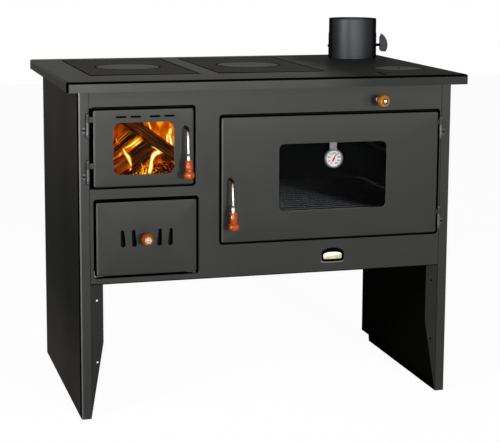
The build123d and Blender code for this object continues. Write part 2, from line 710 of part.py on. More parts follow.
# ---------------------------------------------------------------- thermometer
dial_axis = Axis((dial_mid[0], 0, dial_mid[1]), (0, 1, 0))
case_front, case_back = front - dial_front, oven_pane_y - free
dial_floor = case_front + 3.5
with BuildPart() as thermometer_case:
    with BuildSketch(facing(case_front)):
        with Locations(dial_mid):
            Circle(dial_r)
    extrude(amount=-(case_back - case_front))
    fillet(faces().sort_by(Axis.Y)[0].edges(), radius=1.4)
    with BuildSketch(facing(case_front)):
        with Locations(dial_mid):
            Circle(dial_r - dial_rim)
    extrude(amount=-(dial_floor - case_front), mode=Mode.SUBTRACT)
    with BuildSketch(facing(inner_face)):
        rect(dial_mid[0] - dial_tab_w / 2, dial_mid[0] + dial_tab_w / 2,
             dial_z + dial_r - 4, oven_window[3] + glass_lap)
    extrude(amount=-(case_back - inner_face))
    with BuildSketch(facing(dial_floor)):
        with Locations(dial_mid):
            Circle(pointer_r + run)
    extrude(amount=-3, mode=Mode.SUBTRACT)
keep(thermometer_case, "thermometer_case")

with BuildPart() as thermometer_dial:
    with BuildSketch(facing(dial_floor - 0.6)):
        with Locations(dial_mid):
            Circle(dial_r - dial_rim)
            Circle(pointer_r + run, mode=Mode.SUBTRACT)
    extrude(amount=-0.6)
keep(thermometer_dial, "thermometer_dial")

with BuildPart() as thermometer_glass:
    with BuildSketch(facing(case_front + 0.5)):
        with Locations(dial_mid):
            Circle(dial_r - dial_rim)
    extrude(amount=-1)
keep(thermometer_glass, "thermometer_glass")

# Pointer on its spindle, which turns in the case.
with BuildPart() as thermometer_pointer:
    with BuildSketch(facing(case_front + 1.9)):
        with Locations(Location((dial_mid[0], dial_mid[1]), -pointer_turn)):
            Polygon((-1.9, -8), (1.9, -8), (1.0, 13), (-1.0, 13), align=None)
            Circle(2.6)
    extrude(amount=-0.7)
    with BuildSketch(facing(case_front + 1.9)):
        with Locations(dial_mid):
            Circle(pointer_r)
    extrude(amount=-4.2)
keep(thermometer_pointer, "thermometer_pointer")

# ================================================================ hinges
hinge_sets = [(left + fire_hinge_x, 1, fire_hinge_z, fire_ear_l),
              (left + oven_hinge_x, -1, oven_hinge_z, oven_ear_l)]
hinge_y = front - hinge_out
leaf_t = hinge_out - hinge_r

# Fixed half: a barrel on a leaf that is screwed to the side sheet's flange.
with BuildPart() as hinge_brackets:
    for x, way, tops, _ in hinge_sets:
        for top, low, barrel_top in hinge_z(tops):
            barrel_low = low + hinge_r + free
            with BuildSketch(Plane.XY.offset(barrel_low)):
                with Locations((x, hinge_y)):
                    Circle(hinge_r)
                    Circle(hinge_pin_r + run, mode=Mode.SUBTRACT)
            extrude(amount=barrel_top - barrel_low)
            with BuildSketch(Plane.XY.offset(low + leaf_up)):
                with BuildLine():
                    Polyline((x - way * hinge_r, hinge_y), (x - way * (hinge_r - 0.6), front),
                             (x - way * leaf_w, front), (x - way * leaf_w, front - leaf_t),
                             (x - way * (hinge_r + 2), front - leaf_t), close=True)
                make_face()
                with Locations((x, hinge_y)):
                    Circle(hinge_r)
                    Circle(hinge_pin_r + run, mode=Mode.SUBTRACT)
            extrude(amount=leaf_h)
keep(hinge_brackets, "hinge_brackets")

with BuildPart() as hinge_pins:
    for x, _, tops, _ in hinge_sets:
        for top, low, _ in hinge_z(tops):
            with BuildSketch(Plane.XY.offset(low)):
                with Locations((x, hinge_y)):
                    Circle(hinge_pin_r)
            extrude(amount=top - low)
            with Locations((x, hinge_y, top), (x, hinge_y, low)):
                Sphere(hinge_r)
keep(hinge_pins, "hinge_pins")


def hinge_ears(x, way, tops, length):
    """Moving halves of one door's hinges: a knuckle round the pin and a round-nosed
    ear on the door's face."""
    with BuildPart() as ears:
        for top, _, _ in hinge_z(tops):
            knuckle = top - ear_drop - ear_h
            with BuildSketch(Plane.XY.offset(knuckle)):
                with Locations((x, hinge_y)):
                    Circle(hinge_r)
                    Circle(hinge_pin_r + run, mode=Mode.SUBTRACT)
            extrude(amount=ear_h)
            nose = x + way * length
            with BuildSketch(facing(hinge_y + 1.5)):
                with BuildLine():
                    root_x, cheek = x + way * (hinge_pin_r + 0.8), x + way * (length - ear_h / 3)
                    Line((root_x, knuckle), (cheek, knuckle))
                    ThreePointArc((cheek, knuckle), (nose, knuckle + ear_h / 2),
                                  (cheek, knuckle + ear_h))
                    Polyline((cheek, knuckle + ear_h), (root_x, knuckle + ear_h),
                             (root_x, knuckle))
                make_face()
            extrude(amount=-(door_face - hinge_y - 1.5))
    return ears.part


fire_ear_set = hinge_ears(*hinge_sets[0])
with BuildPart() as fire_hinge_ears:
    add(fire_ear_set)
keep(fire_hinge_ears, "fire_hinge_ears")

oven_ear_set = hinge_ears(*hinge_sets[1])
with BuildPart() as oven_hinge_ears:
    add(oven_ear_set)
keep(oven_hinge_ears, "oven_hinge_ears")

# ================================================================ door handles
lean_angle = atan2(handle_lean, handle_drop)
down = (0, -sin(lean_angle), -cos(lean_angle))
reach = hypot(handle_lean, handle_drop)
spindle_in = seat_y + sheet + 2          # the cam sits behind the stop frame


def along(spindle, distance):
    """Point on the hanging part of a handle, a distance down from its bend."""
    return (left + spindle[0], front - rod_out + down[1] * distance,
            spindle[1] + down[2] * distance)


def lathe_plane(spindle, distance):
    """Plane through the handle's axis: X to the right, Y down along the rod."""
    return Plane(origin=along(spindle, distance), x_dir=(1, 0, 0),
                 z_dir=(0, cos(lean_angle), -sin(lean_angle)))


def handle_rod(spindle):
    """Bent steel rod: spindle through the door, quarter bend, hanging end."""
    start = (left + spindle[0], front + spindle_in + cam_t, spindle[1])
    with BuildPart() as rod:
        with BuildLine() as path:
            FilletPolyline(start, along(spindle, 0), along(spindle, reach - grip_l / 3),
                           radius=rod_bend)
        with BuildSketch(Plane(origin=start, x_dir=(1, 0, 0), z_dir=(0, -1, 0))):
            Circle(rod_r)
        sweep(path=path.line)
    return rod.part


def handle_ferrule(spindle):
    """Turned metal ferrule between the rod and the grip."""
    with BuildPart() as ferrule:
        with BuildSketch(lathe_plane(spindle, reach - grip_l - ferrule_l)):
            with BuildLine():
                Polyline((rod_r, 0), (rod_r + 0.8, 0), (ferrule_r, 5), (ferrule_r, ferrule_l),
                         (rod_r, ferrule_l), close=True)
            make_face()
        revolve(axis=Axis(along(spindle, 0), down))
    return ferrule.part


def handle_grip(spindle):
    """Turned wooden grip: collar, neck and bulb, bored for the rod."""
    bore_end = grip_l * 2 / 3
    with BuildPart() as grip:
        with BuildSketch(lathe_plane(spindle, reach - grip_l)):
            with BuildLine():
                Line((rod_r, 0), (grip_collar_r - 1, 0))
                ThreePointArc((grip_collar_r - 1, 0), (grip_collar_r, 2), (grip_collar_r - 1.4, 4.5))
                Spline((grip_collar_r - 1.4, 4.5), (grip_neck_r, 9), (grip_neck_r + 0.7, grip_l * 0.45),
                       (grip_bulb_r * 0.85, grip_l * 0.63), (grip_bulb_r, grip_l * 0.79),
                       (grip_bulb_r * 0.76, grip_l * 0.94), (0, grip_l))
                Polyline((0, grip_l), (0, bore_end), (rod_r, bore_end), (rod_r, 0))
            make_face()
        revolve(axis=Axis(along(spindle, 0), down))
    return grip.part


def latch_cam(spindle, way):
    """Latch cam on the spindle's inner end: a tongue towards the stop frame's edge and
    a longer tail the other way."""
    with BuildPart() as cam:
        with BuildSketch(facing(front + spindle_in)):
            with Locations((left + spindle[0], spindle[1])):
                Circle(cam_r)
                Circle(rod_r, mode=Mode.SUBTRACT)
            x = left + spindle[0]
            with BuildLine():
                Polyline((x, spindle[1] - cam_r), (x + way * cam_tongue, spindle[1] - cam_r / 2),
                         (x + way * cam_tongue, spindle[1] + cam_r / 2), (x, spindle[1] + cam_r),
                         (x - way * cam_tail, spindle[1] + 2), (x - way * cam_tail, spindle[1] - 4),
                         close=True)
            make_face()
            with Locations((x, spindle[1])):
                Circle(rod_r, mode=Mode.SUBTRACT)
        extrude(amount=-cam_t)
    return cam.part


for door, spindle, way in (("fire", fire_spindle, 1), ("oven", oven_spindle, -1)):
    pieces = {"handle_rod": handle_rod(spindle), "handle_ferrule": handle_ferrule(spindle),
              "handle_grip": handle_grip(spindle), "latch_cam": latch_cam(spindle, way)}
    for piece_name, shape in pieces.items():
        with BuildPart() as handle_piece:
            add(shape)
        keep(handle_piece, f"{door}_{piece_name}")


# ================================================================ ash drawer
ash_mid = ((ash[0] + ash[1]) / 2, tear_z)
ash_tray = door_tray(ash)
with BuildPart() as ash_drawer_front:
    add(ash_tray)
    with BuildSketch(facing(door_face)):
        low_z, high_z = tear_z - tear_h / 2 + tear_low_r, tear_z + tear_h / 2 - tear_top_r
        for way in (-1, 1):
            for offset_x in tear_x:
                outer = ash_mid[0] + way * (offset_x + tear_low_r)
                low_mid, top_mid = outer - way * tear_low_r, outer - way * tear_top_r
                with Locations((low_mid, low_z)):
                    Circle(tear_low_r)
                with Locations((top_mid, high_z)):
                    Circle(tear_top_r)
                with BuildLine():
                    Polyline((outer, low_z), (outer, high_z), (outer - way * 2 * tear_top_r, high_z),
                             (outer - way * 2 * tear_low_r, low_z), close=True)
                make_face()
    extrude(amount=-sheet, mode=Mode.SUBTRACT)
keep(ash_drawer_front, "ash_drawer_front")

with BuildPart() as ash_pan:
    with BuildSketch(Plane.XY.offset(shelf_z + free)):
        rect(pan_x0, pan_x1, liner_y, front + pan_rear, 5)
    extrude(amount=pan_h)
    fillet(faces().sort_by(Axis.Z)[0].edges(), radius=4)
    offset(amount=-1.5, openings=faces().sort_by(Axis.Z)[-1])
keep(ash_pan, "ash_pan")


def knob_profile(x, z, tail, knob_out=knob_out):
    """Half section of a ball knob: collar on the sheet, neck, ball and flat front."""
    plane = Plane(origin=(x, front, z), x_dir=(1, 0, 0), z_dir=(0, 0, 1))
    ball_y = -(knob_out - 13)
    neck_end = ball_y + (knob_r ** 2 - (knob_neck_r + 1.5) ** 2) ** 0.5
    front_y = ball_y - (knob_r ** 2 - (knob_cap_r + 1) ** 2) ** 0.5
    with BuildPart() as knob:
        with BuildSketch(plane):
            with BuildLine():
                Polyline((0, tail), (knob_neck_r + 1.5, tail), (knob_neck_r, (tail + neck_end) / 2),
                         (knob_neck_r + 1.5, neck_end))
                ThreePointArc((knob_neck_r + 1.5, neck_end), (knob_r, ball_y),
                              (knob_cap_r + 1, front_y))
                Polyline((knob_cap_r + 1, front_y), (0, front_y), (0, tail))
            make_face()
        revolve(axis=Axis((x, 0, z), (0, 1, 0)))
        with BuildSketch(facing(front - knob_out)):
            with Locations((x, z)):
                Circle(knob_cap_r)
        extrude(amount=-5, mode=Mode.SUBTRACT)
    return knob.part


def knob_cap(x, z, knob_out=knob_out):
    """Chrome cup in the knob's front with its screw head."""
    with BuildPart() as cap:
        with BuildSketch(facing(front - knob_out)):
            with Locations((x, z)):
                Circle(knob_cap_r)
        extrude(amount=-5)
        with BuildSketch(facing(front - knob_out)):
            with Locations((x, z)):
                Circle(knob_cap_r - 2)
                Circle(3, mode=Mode.SUBTRACT)
        extrude(amount=-2.5, mode=Mode.SUBTRACT)
        fillet(edges().filter_by(GeomType.CIRCLE).group_by(Axis.Y)[0], radius=0.6)
    return cap.part


ash_knob_at = (ash_mid[0] - ash_knob_off, ash_mid[1])
ash_knob_shape = knob_profile(*ash_knob_at, -door_proud, ash_knob_out)
with BuildPart() as ash_knob:
    add(ash_knob_shape)
keep(ash_knob, "ash_knob")

ash_cap_shape = knob_cap(*ash_knob_at, ash_knob_out)
with BuildPart() as ash_knob_cap:
    add(ash_cap_shape)
keep(ash_knob_cap, "ash_knob_cap")

# ================================================================ smoke bypass
bypass_at = (left + bypass_x, bypass_z)
bypass_tail = -3.0
bypass_knob_shape = knob_profile(*bypass_at, bypass_tail)
with BuildPart() as bypass_knob:
    add(bypass_knob_shape)
keep(bypass_knob, "bypass_knob")

bypass_cap_shape = knob_cap(*bypass_at)
with BuildPart() as bypass_rod:
    with BuildSketch(facing(front + bypass_tail)):
        with Locations(bypass_at):
            Circle(bypass_rod_r)
    extrude(amount=-(bypass_rod_l - bypass_tail - free - bypass_plate_t))
keep(bypass_rod, "bypass_rod")

with BuildPart() as bypass_knob_cap:
    add(bypass_cap_shape)
keep(bypass_knob_cap, "bypass_knob_cap")

with BuildPart() as bypass_plate:
    with BuildSketch(facing(front + bypass_rod_l - free - bypass_plate_t)):
        with Locations(bypass_at):
            RectangleRounded(bypass_plate_w, bypass_plate_h, 8)
    extrude(amount=-bypass_plate_t)
keep(bypass_plate, "bypass_plate")

# ================================================================ badge and screws
with BuildPart() as name_plate:
    bx0, bx1, bz0, bz1 = plate_badge
    with BuildSketch(facing(front - 1.2)):
        with BuildLine():
            Polyline((left + bx0, bz1), (left + bx0, bz0), (left + bx1, bz0), (left + bx1, bz1))
            ThreePointArc((left + bx1, bz1), (left + (bx0 + bx1) / 2, bz1 + badge_arch),
                          (left + bx0, bz1))
        make_face()
    extrude(amount=-1.2)
keep(name_plate, "name_plate")

with BuildPart() as pan_head_screws:
    for x, way, tops, _ in hinge_sets:
        for top, low, _ in hinge_z(tops):
            with BuildSketch(facing(front - leaf_t - screw_h)):
                with Locations((x - way * (leaf_w + hinge_r + 2) / 2, low + leaf_up + leaf_h / 2)):
                    Circle(leaf_screw_r)
            extrude(amount=-screw_h)
    with BuildSketch(facing(back)):
        for x in (left + fold_w / 2, right - fold_w / 2):
            for n in range(4):
                with Locations((x, body_bottom + 40 + n * 130)):
                    Circle(screw_r)
    extrude(amount=-screw_h)
    with BuildSketch(Plane.XY.offset(hob_z)):
        with Locations((left + dot_x, front + dot_y)):
            Circle(dot_r)
    extrude(amount=screw_h / 2)
    with BuildSketch(Plane.XY.offset(hob_z + 0.6)):
        with Locations((left + cover_x, front + cover_y)):
            Circle(screw_r)
    extrude(amount=screw_h / 2)
keep(pan_head_screws, "pan_head_screws")
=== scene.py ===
# %% [markdown]
# A wood cookstove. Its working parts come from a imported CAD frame: folded sheets, two
# glazed doors, a drawer, hob plates and a flue collar. This notebook gives them their
# finish, and adds what a lathe, a rope or a fire makes: turned grips, seals, logs and
# flames. Every piece is worked out as a numpy surface.

# %% Load the frame and measure it
import math

import bmesh
import bpy
import numpy as np
from mathutils import Matrix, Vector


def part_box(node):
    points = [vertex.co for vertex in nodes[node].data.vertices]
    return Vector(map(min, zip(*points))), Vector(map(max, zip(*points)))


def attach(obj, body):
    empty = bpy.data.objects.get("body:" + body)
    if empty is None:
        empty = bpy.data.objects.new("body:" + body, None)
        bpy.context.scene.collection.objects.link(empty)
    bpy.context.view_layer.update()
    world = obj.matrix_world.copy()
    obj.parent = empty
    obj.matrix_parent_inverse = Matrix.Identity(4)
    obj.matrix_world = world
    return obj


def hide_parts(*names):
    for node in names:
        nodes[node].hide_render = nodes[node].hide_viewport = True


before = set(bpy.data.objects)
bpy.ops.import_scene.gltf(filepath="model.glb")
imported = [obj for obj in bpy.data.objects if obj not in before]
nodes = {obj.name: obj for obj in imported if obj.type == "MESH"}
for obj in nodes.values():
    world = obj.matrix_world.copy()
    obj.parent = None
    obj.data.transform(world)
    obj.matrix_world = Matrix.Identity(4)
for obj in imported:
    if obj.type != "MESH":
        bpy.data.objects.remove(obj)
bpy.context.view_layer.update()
scene = bpy.context.scene
face_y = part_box("front_panel")[0].y
left_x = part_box("side_panel_left")[0].x
print("front sheet at", round(face_y, 4), "left side at", round(left_x, 4))


def spot(x, y, z):
    """Millimetres from the left side, the front sheet and the floor, as frame points."""
    return np.stack(np.broadcast_arrays(left_x + x / 1000, face_y + y / 1000, z / 1000), -1)


def unit(vectors):
    """Vectors of length 1."""
    return vectors / np.linalg.norm(vectors, axis=-1, keepdims=True)


def middle_of(name):
    """Middle of a node's box."""
    low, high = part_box(name)
    return (np.array(low) + np.array(high)) / 2


# %% [markdown]
# The photograph was taken from the left of the stove, a little above its top, with a
# long lens. The camera was fitted to the corners of the hob, the doors and the feet. A
# small shift of the lens keeps the upright edges nearly parallel, as they are there.

# %% Camera
picture_w, focal_px, shift_px, sensor_w = 500, 1461.8, 60, 36
yaw, pitch, roll = (math.radians(a) for a in (15.732, 8.589, 0.319))
camera = bpy.data.objects.new("camera", bpy.data.cameras.new("camera"))
camera.data.sensor_width = sensor_w
camera.data.lens = sensor_w * focal_px / picture_w
camera.data.shift_y = -shift_px / picture_w
stand = spot(-533, -3374, 1146)
level = math.cos(pitch)
look = np.array([math.sin(yaw) * level, math.cos(yaw) * level, -math.sin(pitch)])
across = np.array([math.cos(yaw), -math.sin(yaw), 0])
upward = np.cross(across, look)
across, upward = (math.cos(roll) * across + math.sin(roll) * upward,
                  math.cos(roll) * upward - math.sin(roll) * across)


def placed(x, y, z, at):
    """Matrix with three axes and a place as its columns."""
    return Matrix([*map(list, np.column_stack([x, y, z, at])), [0, 0, 0, 1]])


camera.matrix_world = placed(across, upward, -look, stand)
scene.collection.objects.link(camera)
scene.camera = camera
scene.view_settings.view_transform = "Standard"
print("lens", round(camera.data.lens, 1), "mm, at", np.round(stand, 3))

# %% [markdown]
# Turned and bent pieces are one idea: rings of points carried along a line. On a lathe
# they slide along a straight axis, and on a rod they also turn with the path. The last
# arguments of each helper are a piece's material, the body that it rides on, its slot,
# and the CAD node that it replaces.

# %% Mesh helpers


def shape(name, verts, faces, material):
    """New object from points, faces and a material."""
    mesh = bpy.data.meshes.new(name)
    mesh.from_pydata(np.reshape(verts, (-1, 3)).tolist(), [], [list(map(int, f)) for f in faces])
    mesh.materials.append(material)
    made = bpy.data.objects.new(name, mesh)
    scene.collection.objects.link(made)
    return made


def tied(made, body, replaced=None):
    """Ties a piece to its body and the node that it stands for."""
    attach(made, body)
    if replaced:
        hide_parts(replaced)
    return made


def piece(name, verts, faces, material, body, slot_name, replaced=None):
    """Closed smooth mesh: doubled points are merged and the faces turned outwards."""
    made = shape(name, verts, faces, material)
    work = bmesh.new()
    work.from_mesh(made.data)
    bmesh.ops.remove_doubles(work, verts=work.verts, dist=2e-6)
    bmesh.ops.dissolve_degenerate(work, edges=work.edges, dist=1e-7)
    bmesh.ops.recalc_face_normals(work, faces=work.faces)
    work.to_mesh(made.data)
    work.free()
    made.data.shade_smooth()
    return tied(made, body, replaced)


def quads(rows, columns, wrap=True, loop=False):
    """Faces of a grid of rows x columns points; with wrap each row is a closed ring, and
    with loop the last row meets the first."""
    grid = np.arange(rows * columns).reshape(rows, columns)
    if wrap:
        grid = np.hstack([grid, grid[:, :1]])
    if loop:
        grid = np.vstack([grid, grid[:1]])
    corners = grid[:-1, :-1], grid[:-1, 1:], grid[1:, 1:], grid[1:, :-1]
    return np.stack(corners, -1).reshape(-1, 4)


def creased(made, degrees=35):
    """Edges sharper than an angle stay crisp on a smooth piece."""
    made.modifiers.new("crisp edges", "EDGE_SPLIT").split_angle = math.radians(degrees)
    return made


def circle(count):
    """Angles of evenly spaced points round a circle."""
    return np.linspace(0, 2 * np.pi, count, endpoint=False)


# %% Lathe work


def turned(name, start, axis, profile, *ties, segments=48):
    """Lathe work: point = start + axis*h + r*(cos a * p + sin a * q), with p and q across
    the axis; profile lists (h, r) in millimetres, from pole to pole."""
    axis = unit(axis)
    p = unit(np.cross(axis, [1, 0, 0] if abs(axis[0]) < 0.9 else [0, 1, 0]))
    h, r = np.array(profile, float).T / 1000
    a = circle(segments)[:, None]
    ring = np.cos(a) * p + np.sin(a) * np.cross(axis, p)
    verts = start + h[:, None, None] * axis + r[:, None, None] * ring
    return creased(piece(name, verts, quads(len(h), segments), *ties))


def curve_through(points, count):
    """Catmull-Rom curve through points, count steps from each; the last is left out."""
    p = np.array(points, float)
    p = np.vstack([2 * p[0] - p[1], p, 2 * p[-1] - p[-2]])
    t = np.linspace(0, 1, count, endpoint=False)[:, None]
    return np.vstack([0.5 * (2 * b + (c - a) * t + (2 * a - 5 * b + 4 * c - d) * t**2
                             + (3 * b - a - 3 * c + d) * t**3)
                      for a, b, c, d in zip(p[:-3], p[1:-2], p[2:-1], p[3:])])


def smooth_profile(points, count=6):
    """Rounds a lathe profile, and keeps its radii from going below zero."""
    out = np.vstack([curve_through(points, count), points[-1]])
    out[:, 1] = np.maximum(out[:, 1], 0)
    return out


# %% Bent rods


def bent(a, corner, b, radius, steps=14):
    """Path from a to b with a round bend: two straights joined by an arc that touches
    both at radius * tan(turn / 2) from the corner."""
    into, out = unit(corner - a), unit(b - corner)
    angle = math.acos(np.clip(into @ out, -1, 1))
    first = corner - into * radius * math.tan(angle / 2)
    inward = unit(out - (out @ into) * into)
    t = np.linspace(0, angle, steps)[:, None]
    return np.vstack([a, first + radius * (np.sin(t) * into + (1 - np.cos(t)) * inward), b])


def rod(name, path, radius, side, *ties, segments=24):
    """Round bar: ring = point + r*(cos a * side + sin a * (tangent x side)), closed at
    both ends."""
    tangent = unit(np.gradient(path, axis=0))
    points, tangent = (np.vstack([v[0], v[0], v[1:-1], v[-1], v[-1]]) for v in (path, tangent))
    r = np.r_[0, np.full(len(path), radius), 0][:, None, None]
    a = circle(segments)[None, :, None]
    other = np.cross(tangent, side)[:, None]
    verts = points[:, None] + r * (np.cos(a) * np.asarray(side) + np.sin(a) * other)
    return creased(piece(name, verts, quads(len(points), segments), *ties))


# %% Beads round a loop


def loop_of(w, h, r, count=10):
    """Closed rounded rectangle of half sizes w and h: arcs r*(cos, sin) round the points
    (+-(w - r), +-(h - r)); gives its points and outward directions."""
    b = np.concatenate([np.linspace(0, np.pi / 2, count) + n * np.pi / 2 for n in range(4)])
    outward = np.column_stack([np.cos(b), np.sin(b)])
    corner = np.repeat([(1, 1), (-1, 1), (-1, -1), (1, -1)], count, axis=0) * (w - r, h - r)
    return corner + r * outward, outward


def bead(name, centre, axes, loop, section, *ties):
    """Carries a closed section round a flat closed loop, in millimetres:
    point = centre + x*u + z*v + out*outward + up*(u x v), for (out, up) of the section."""
    axes = np.array(axes, float)
    points, outward = loop
    out, up = np.array(section, float).T[:, None, :, None]
    verts = (points @ axes)[:, None] + out * (outward @ axes)[:, None] + up * np.cross(*axes)
    faces = quads(len(points), len(section), loop=True)
    return creased(piece(name, centre + verts / 1000, faces, *ties), 40)


round_section = np.column_stack([np.cos(circle(10)), np.sin(circle(10))])

# %% [markdown]
# Small shader groups put out a colour, a roughness and a height, from Object
# coordinates, so that a pattern stays on its piece when it moves. The shader itself is
# in each material, with its fixed values on its own sockets.

# %% Node helpers


def is_socket(value):
    """Whether a value is a node's input or output."""
    return isinstance(value, bpy.types.NodeSocket)


def put(socket, value):
    """Links a socket, or sets it; a colour is one grey or (red, green, blue)."""
    if is_socket(value):
        socket.id_data.links.new(value, socket)
    elif socket.type == "RGBA":
        socket.default_value = (*np.broadcast_to(value, 3), 1)
    else:
        socket.default_value = value


def add(kind, tree=None, **settings):
    """New node, in the tree of the first socket that it is given; a setting is one of
    its properties, or an input by name or number."""
    tree = tree or next(value.id_data for value in settings.values() if is_socket(value))
    node = tree.nodes.new("ShaderNode" + kind)
    for key, value in settings.items():
        if hasattr(node, key):
            setattr(node, key, value)
        else:
            put(node.inputs[int(key[1:]) if key[0] == "_" else key.replace("_", " ")], value)
    return node


def arithmetic(operation, kind="Math", output="Value"):
    """Function that adds one step of arithmetic."""
    return lambda *values: add(kind, operation=operation, **{
        f"_{n}": value for n, value in enumerate(values)}).outputs[output]


times, plus, minus, times_plus, most, least, size_of = map(arithmetic, (
    "MULTIPLY", "ADD", "SUBTRACT", "MULTIPLY_ADD", "MAXIMUM", "MINIMUM", "ABSOLUTE"))
length_of = arithmetic("LENGTH", "VectorMath")


# %% Patterns and masks


def noise(vector, scale, detail=4.0, rough=0.5):
    """Noise value from 0 to 1 over a vector."""
    return add("TexNoise", _0=vector, Scale=scale, Detail=detail, Roughness=rough).outputs["Fac"]


def remap(value, low, high, out_low=0.0, out_high=1.0):
    """Straight-line change of a value's range, clamped."""
    return add("MapRange", _0=value, _1=low, _2=high, _3=out_low, _4=out_high).outputs[0]


def blended(factor, first, second, how="MIX"):
    """Two colours mixed by a factor."""
    return add("Mix", data_type="RGBA", blend_type=how, _0=factor, _6=first, _7=second).outputs[2]


def band(value, low, high, soft=0.0006):
    """Mask that is 1 between two values and fades over a soft edge outside them."""
    return times(remap(value, low - soft, low), remap(value, high, high + soft, 1.0, 0.0))


def scaled(vector, scale):
    """Vector stretched along its axes."""
    return add("Mapping", Vector=vector, Scale=scale).outputs[0]


# %% Groups and finishes


def new_group(name, *inputs, more=()):
    """Shader group with Colour, Roughness and Height outputs, and more if asked; inputs
    are (name, default): a number, a colour, or None for a vector. Gives the group, its
    Object coordinates and its inputs."""
    tree = bpy.data.node_groups.new(name, "ShaderNodeTree")
    for label, default in [("Vector", None), *inputs]:
        kind = {type(None): "Vector", tuple: "Color", float: "Float"}[type(default)]
        socket = tree.interface.new_socket(label, in_out="INPUT", socket_type="NodeSocket" + kind)
        if default is not None:
            socket.default_value = (*default, 1) if kind == "Color" else default
    for label, kind in (("Colour", "Color"), ("Roughness", "Float"), ("Height", "Float"), *more):
        tree.interface.new_socket(label, in_out="OUTPUT", socket_type="NodeSocket" + kind)
    tree.nodes.new("NodeGroupOutput").name = "results"
    return tree, *tree.nodes.new("NodeGroupInput").outputs[:len(inputs) + 1]


def give(tree, **results):
    """Links results to a group's outputs."""
    for label, value in results.items():
        put(tree.nodes["results"].inputs[label], value)


def with_nodes(made):
    """Gives a material or world its nodes; gives the tree."""
    made.use_nodes = True
    return made.node_tree


def finish(name, group, bump=0.0, bump_distance=0.001, stretch=(1, 1, 1), **values):
    """Material whose Principled shader reads a group's colour, roughness and height; a
    value goes to the group's input of that name, or else to the shader's."""
    material = bpy.data.materials.new(name)
    tree = with_nodes(material)
    shader = tree.nodes["Principled BSDF"]
    at = scaled(add("TexCoord", tree).outputs["Object"], stretch)
    look_of = add("Group", node_tree=group, Vector=at)
    given = look_of.outputs
    for label, key in (("Base Color", "Colour"), ("Roughness", "Roughness"),
                       ("Metallic", "Metal")):
        if key in given:
            put(shader.inputs[label], given[key])
    if bump:
        bumps = add("Bump", Strength=bump, Distance=bump_distance, Height=given["Height"])
        put(shader.inputs["Normal"], bumps.outputs[0])
    for key, value in values.items():
        label = key.replace("_", " ")
        put((look_of if label in look_of.inputs else shader).inputs[label], value)
    return material


# %% [markdown]
# The sheets are sprayed with a heat-proof paint full of metal flakes. It has a fine
# grain, and faint clouds where the coat is thicker. The flakes lie in a rough layer:
# they shine on the bends, and hardly at a flat angle. The inner faces of the side sheets
# are painted darker as shade, and their screw tabs are darker too.

# %% Paint
paint_inputs = ("Base", (0.05, 0.05, 0.05)), ("Clouds", 0.12), ("Gloss", 0.42)
paint, here, base, clouds, gloss = new_group("stove_paint", *paint_inputs)
cloud, grain = noise(here, 7, 3), noise(here, 900, 2, 0.6)
lighter = blended(1.0, base, (1.7, 1.7, 1.65), "MULTIPLY")
give(paint, Colour=blended(times(remap(cloud, 0.3, 0.75), clouds), base, lighter),
     Roughness=plus(gloss, times(grain, 0.12)), Height=grain)


def shaded_paint(name, shades, flakes=None):
    """Stove paint with masked colours, mostly painted shade and light: shades(x, y, z) lists
    (mask, colour), and flakes(x, y, z) gives the share of shining metal flakes."""
    tree, here, base, clouds, gloss = new_group(
        name, *paint_inputs, more=[("Metal", "Float")] if flakes else ())
    coat = add("Group", node_tree=paint, Vector=here, Base=base, Clouds=clouds, Gloss=gloss)
    place = add("SeparateXYZ", Vector=here).outputs
    colour = coat.outputs["Colour"]
    for mask, shade in shades(*place):
        colour = blended(mask, colour, shade)
    give(tree, Colour=colour, Roughness=coat.outputs["Roughness"], Height=coat.outputs["Height"])
    if flakes:
        give(tree, Metal=flakes(*place))
    return tree


# %% Painted shade and light, and darker screw tabs
hob_low, hob_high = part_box("hob_top")
# Colours of painted light, of the darker screw tabs, of painted shade and of painted highlights;
# the near-black is painted shade, and also the damper spindle's own black.
painted_light, tab_darker, inner = (0.112, 0.104, 0.100), (0.034, 0.034, 0.033), (0.012, 0.012, 0.010)
door_edge_highlight, fold_highlight, painted_shade_and_black = (0.105, 0.106, 0.104), (0.15, 0.156, 0.164), 0.002
far = 1.0  # beyond every sheet of the stove, in metres
fronts = "fire_door_skin", "oven_door_skin", "ash_drawer_front"


def side_shades(x, y, z):
    """Painted light high and low on the outside, a darker colour on the screw tabs, painted
    shade inside, a painted shade line along the front fold and a painted highlight on its corner."""
    inside = band(size_of(x), -far, -left_x - 0.0008, 1e-5)
    behind, deeper = (band(y, face_y + depth, far, 1e-5) for depth in (0.0008, 0.0045))
    lit_high_low = most(remap(z, 0.42, 0.80), remap(z, 0.26, 0.05))
    corner = times(band(x, -far, left_x + 0.0036), band(y, -far, face_y + 0.0010))
    fold = minus(band(y, face_y + 0.0010, face_y + 0.021), inside)
    return [(times(lit_high_low, behind), painted_light), (times(inside, behind), tab_darker),
            (times(inside, deeper), inner), (fold, painted_shade_and_black), (corner, fold_highlight)]


def hob_fold_shade(x, y, z):
    """A dark painted shade line along the hob's front fold and down its front corners."""
    return most(times(band(z, hob_high.z - 0.0052, hob_high.z - 0.0001, 0.0004),
                      band(y, -far, hob_low.y + 0.0045)),
                times(band(y, hob_low.y + 0.001, hob_low.y + 0.020),
                      band(size_of(x), hob_high.x - 0.0035, far)))


def hob_flakes(x, y, z):
    """The hob's right part has fewer shining flakes, in clouds: a painted darker reflection."""
    cloudy = times_plus(noise(add("CombineXYZ", X=x, Y=y).outputs[0], 9, 3), 0.12, x)
    free = times(remap(cloudy, 0.19, 0.30, 0.38, 0.12),
                 remap(z, hob_high.z - 0.006, hob_high.z - 0.005, 0.6, 1.0))
    return times(free, minus(1.0, hob_fold_shade(x, y, z)))


